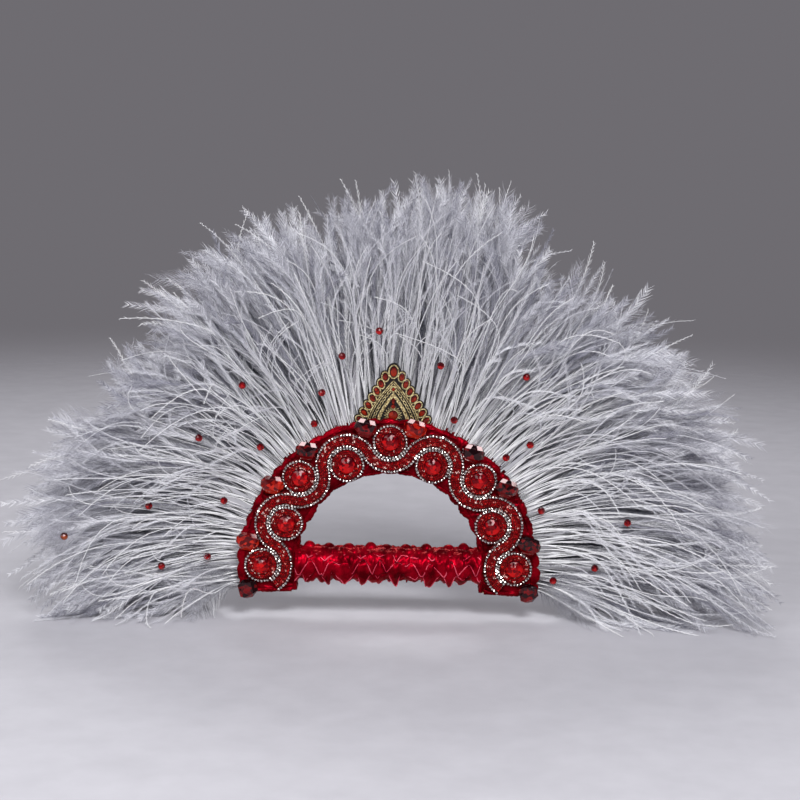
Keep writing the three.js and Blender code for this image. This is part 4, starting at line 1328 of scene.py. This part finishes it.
def build_patch():
    parts = Parts()
    patch_ground(parts)
    for share in np.linspace(0, 1, LOBES_PER_SIDE):
        centre = FIRST_LOBE + (LAST_LOBE - FIRST_LOBE) * share
        for hand in (-1, 1):
            jewelled_lobe(parts, centre * (hand, 1), LOBE_SIZE, -hand * (LOBE_TILT + LOBE_TURN * share))
    jewelled_lobe(parts, APEX_LOBE, APEX_LOBE_SIZE, 0)
    for half_width, apex, radius in CORD_ARCHES:
        patch_cord(parts, gothic(half_width, apex), radius)
    chain_braid(parts)
    patch_gem(parts, KEYSTONE, 1.1, 1.25)
    patch_cord(parts, ellipse(KEYSTONE, 1.75, 1.9), 0.32, closed=True)
    centre_motif(parts)
    stone = glass_material("patch_stone", srgb(146, 40, 20), srgb(92, 16, 11), srgb(44, 6, 5), 0.3)
    cloth = fibre_material(
        "patch_ground", srgb(10, 8, 9), srgb(34, 27, 28), (1200, 4), (0.5, 0.2), stretch=(1, 1, 3),
        Roughness=0.75, Specular_IOR_Level=0.3,
    )
    gold = fibre_material(
        "gold_cord", srgb(96, 70, 30), srgb(252, 234, 176), (1100, 2), (0.5, 0.2), stops=(0.36, 0.62),
        Metallic=0.45, Roughness=0.34,
    )
    dress(parts.piece("applique", [cloth, gold, stone], smooth=False), "brocade", "brocade_patch")


# Bead pins
PIN_WIRE_RADIUS = 0.22
WIRE_SIDES, WIRE_STEP, WIRE_APART = 6, 2.0, 0.3
PIN_SIDES, PIN_TILT = 8, 0.6
BROWN_PIN = 18


def pin_bead():
    """A bead in four tiers of facets."""
    tiers = ((0.35, -0.9), (0.8, -0.55), (1, 0), (0.8, 0.55), (0.35, 0.9))
    sizes = PIN_BEAD_RADIUS * np.array(tiers)
    return rings_mesh([ring(reach, up, PIN_SIDES, rank / 2) for rank, (reach, up) in enumerate(sizes)])


def build_pins():
    glass = glass_material("pin_glass", srgb(176, 18, 18), srgb(104, 4, 11), srgb(58, 1, 6), 0.4)
    brown = glass_material("brown_glass", srgb(150, 70, 36), srgb(96, 36, 20), srgb(54, 16, 10), 0.4)
    wire = metal_material("pin_wire", srgb(226, 226, 230), 0.35)
    rng = np.random.default_rng(12)
    for index, bead in enumerate(PIN_BEADS):
        angle = math.atan2(bead[2], bead[0])
        stops = [polar(radius, angle, WIRE_Y) for radius in (ARCH_OUTER_RADIUS - WIRE_TUCK, RIM_RADIUS)]
        aside = polar(WIRE_APART, angle + math.pi / 2) * np.array([[1], [1], [0.5]])
        parts = Parts()
        add_copies(parts, pin_bead(), bead[None], turned(rng, 1, PIN_TILT))
        for hand in (-1, 1):
            path = resample(np.array([*stops, bead]) + hand * aside, WIRE_STEP)
            add_tube(parts, path, PIN_WIRE_RADIUS, WIRE_SIDES, slot=1)
        material = brown if index == BROWN_PIN else glass
        piece = parts.piece(f"pin_{index + 1}", [material, wire], smooth=False)
        dress(piece, "red_glass", f"bead_pin_{index + 1}")


# Board and dowel: CAD solids with their own finish
def finish_solids():
    board = fibre_material(
        "board", srgb(128, 98, 66), srgb(168, 136, 98), (300, 6), (0.4, 0.2), stretch=(1, 1, 4),
        Roughness=0.85, Specular_IOR_Level=0.25,
    )
    wood = fibre_material(
        "wood", srgb(168, 126, 78), srgb(208, 170, 118), (420, 6), (0.3, 0.2), stretch=(0.08, 1, 1),
        Roughness=0.6, Specular_IOR_Level=0.35,
    )
    for node, material in (("front_board", board), ("back_board", board), ("handle_dowel", wood)):
        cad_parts[node].data.materials.clear()
        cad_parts[node].data.materials.append(material)


# Stage, lights and camera
FLOOR_RADIUS, FLOOR_SIDES = 2500, 64
FADE_START, FADE_END = 600, 2000
WORLD_STRENGTH = 0.32
VIEW_TARGET = (5.85, 0, 109)
VIEW_WIDTH = 520
VIEW_ELEVATION = math.radians(8)
VIEW_ROLL = math.radians(1)
LENS = 85

# Lamps: place, width and watts
LAMPS = {
    "key": ((350, -1500, 1350), 700, 35),
    "fill": ((-1000, -1300, 1100), 900, 16),
    "back": ((-200, 1300, 1500), 900, 14),
}


def build_stage():
    """A round floor that fades out far from the fan."""
    parts = Parts()
    here = np.arange(FLOOR_SIDES)
    faces = np.stack([np.full(FLOOR_SIDES, FLOOR_SIDES), here, np.roll(here, -1)], axis=-1)
    parts.add(np.concatenate([ring(FLOOR_RADIUS, FLOOR_Z, FLOOR_SIDES), [(0, 0, FLOOR_Z)]]), faces)
    surface = Surface("floor", Roughness=0.6, Specular_IOR_Level=0.3)
    grain = surface.noise(surface.place(), 40, 6)
    dark, bright = srgb(182, 181, 188), srgb(190, 189, 196)
    surface.feed("Base Color", surface.ramp(grain, (0.3, dark), (0.7, bright)))
    place = surface.node("ShaderNodeTexCoord").outputs["Object"]
    reach = surface.node("ShaderNodeVectorMath", {0: place}, operation="LENGTH").outputs["Value"]
    limits = {0: reach, 1: FADE_START * MM, 2: FADE_END * MM}
    far = surface.node("ShaderNodeMapRange", limits, interpolation_type="SMOOTHSTEP").outputs[0]
    surface.blend(far, surface.node("ShaderNodeBsdfTransparent"))
    parts.piece("floor", [surface.material])


def build_light():
    for name, (place, size, watts) in LAMPS.items():
        data = bpy.data.lights.new(name, "AREA")
        data.shape = "DISK"
        data.size = size * MM
        data.energy = watts
        lamp = bpy.data.objects.new(name, data)
        lamp.location = Vector(place) * MM
        aim = Vector(VIEW_TARGET) * MM - lamp.location
        lamp.rotation_euler = aim.to_track_quat("-Z", "Y").to_euler()
        bpy.context.scene.collection.objects.link(lamp)
    world = bpy.data.worlds.new("studio")
    world.use_nodes = True
    bpy.context.scene.world = world
    shade = world.node_tree.nodes["Background"]
    shade.inputs["Color"].default_value = srgb(186, 182, 190)
    shade.inputs["Strength"].default_value = WORLD_STRENGTH


def build_camera():
    data = bpy.data.cameras.new("camera")
    data.lens = LENS
    camera = bpy.data.objects.new("camera", data)
    distance = VIEW_WIDTH * LENS / data.sensor_width
    back = Vector((0, -math.cos(VIEW_ELEVATION), math.sin(VIEW_ELEVATION)))
    camera.matrix_world = (-back).to_track_quat("-Z", "Y").to_matrix().to_4x4()
    camera.location = (Vector(VIEW_TARGET) + back * distance) * MM
    camera.rotation_euler.rotate_axis("Z", VIEW_ROLL)
    bpy.context.scene.collection.objects.link(camera)
    bpy.context.scene.camera = camera


bpy.context.scene.view_settings.view_transform = "Standard"
build_feathers()
build_facings()
build_ruffles()
build_handle()
build_beads()
build_rhinestones()
build_stones()
build_crystals()
build_patch()
build_pins()
finish_solids()
build_stage()
build_light()
build_camera()
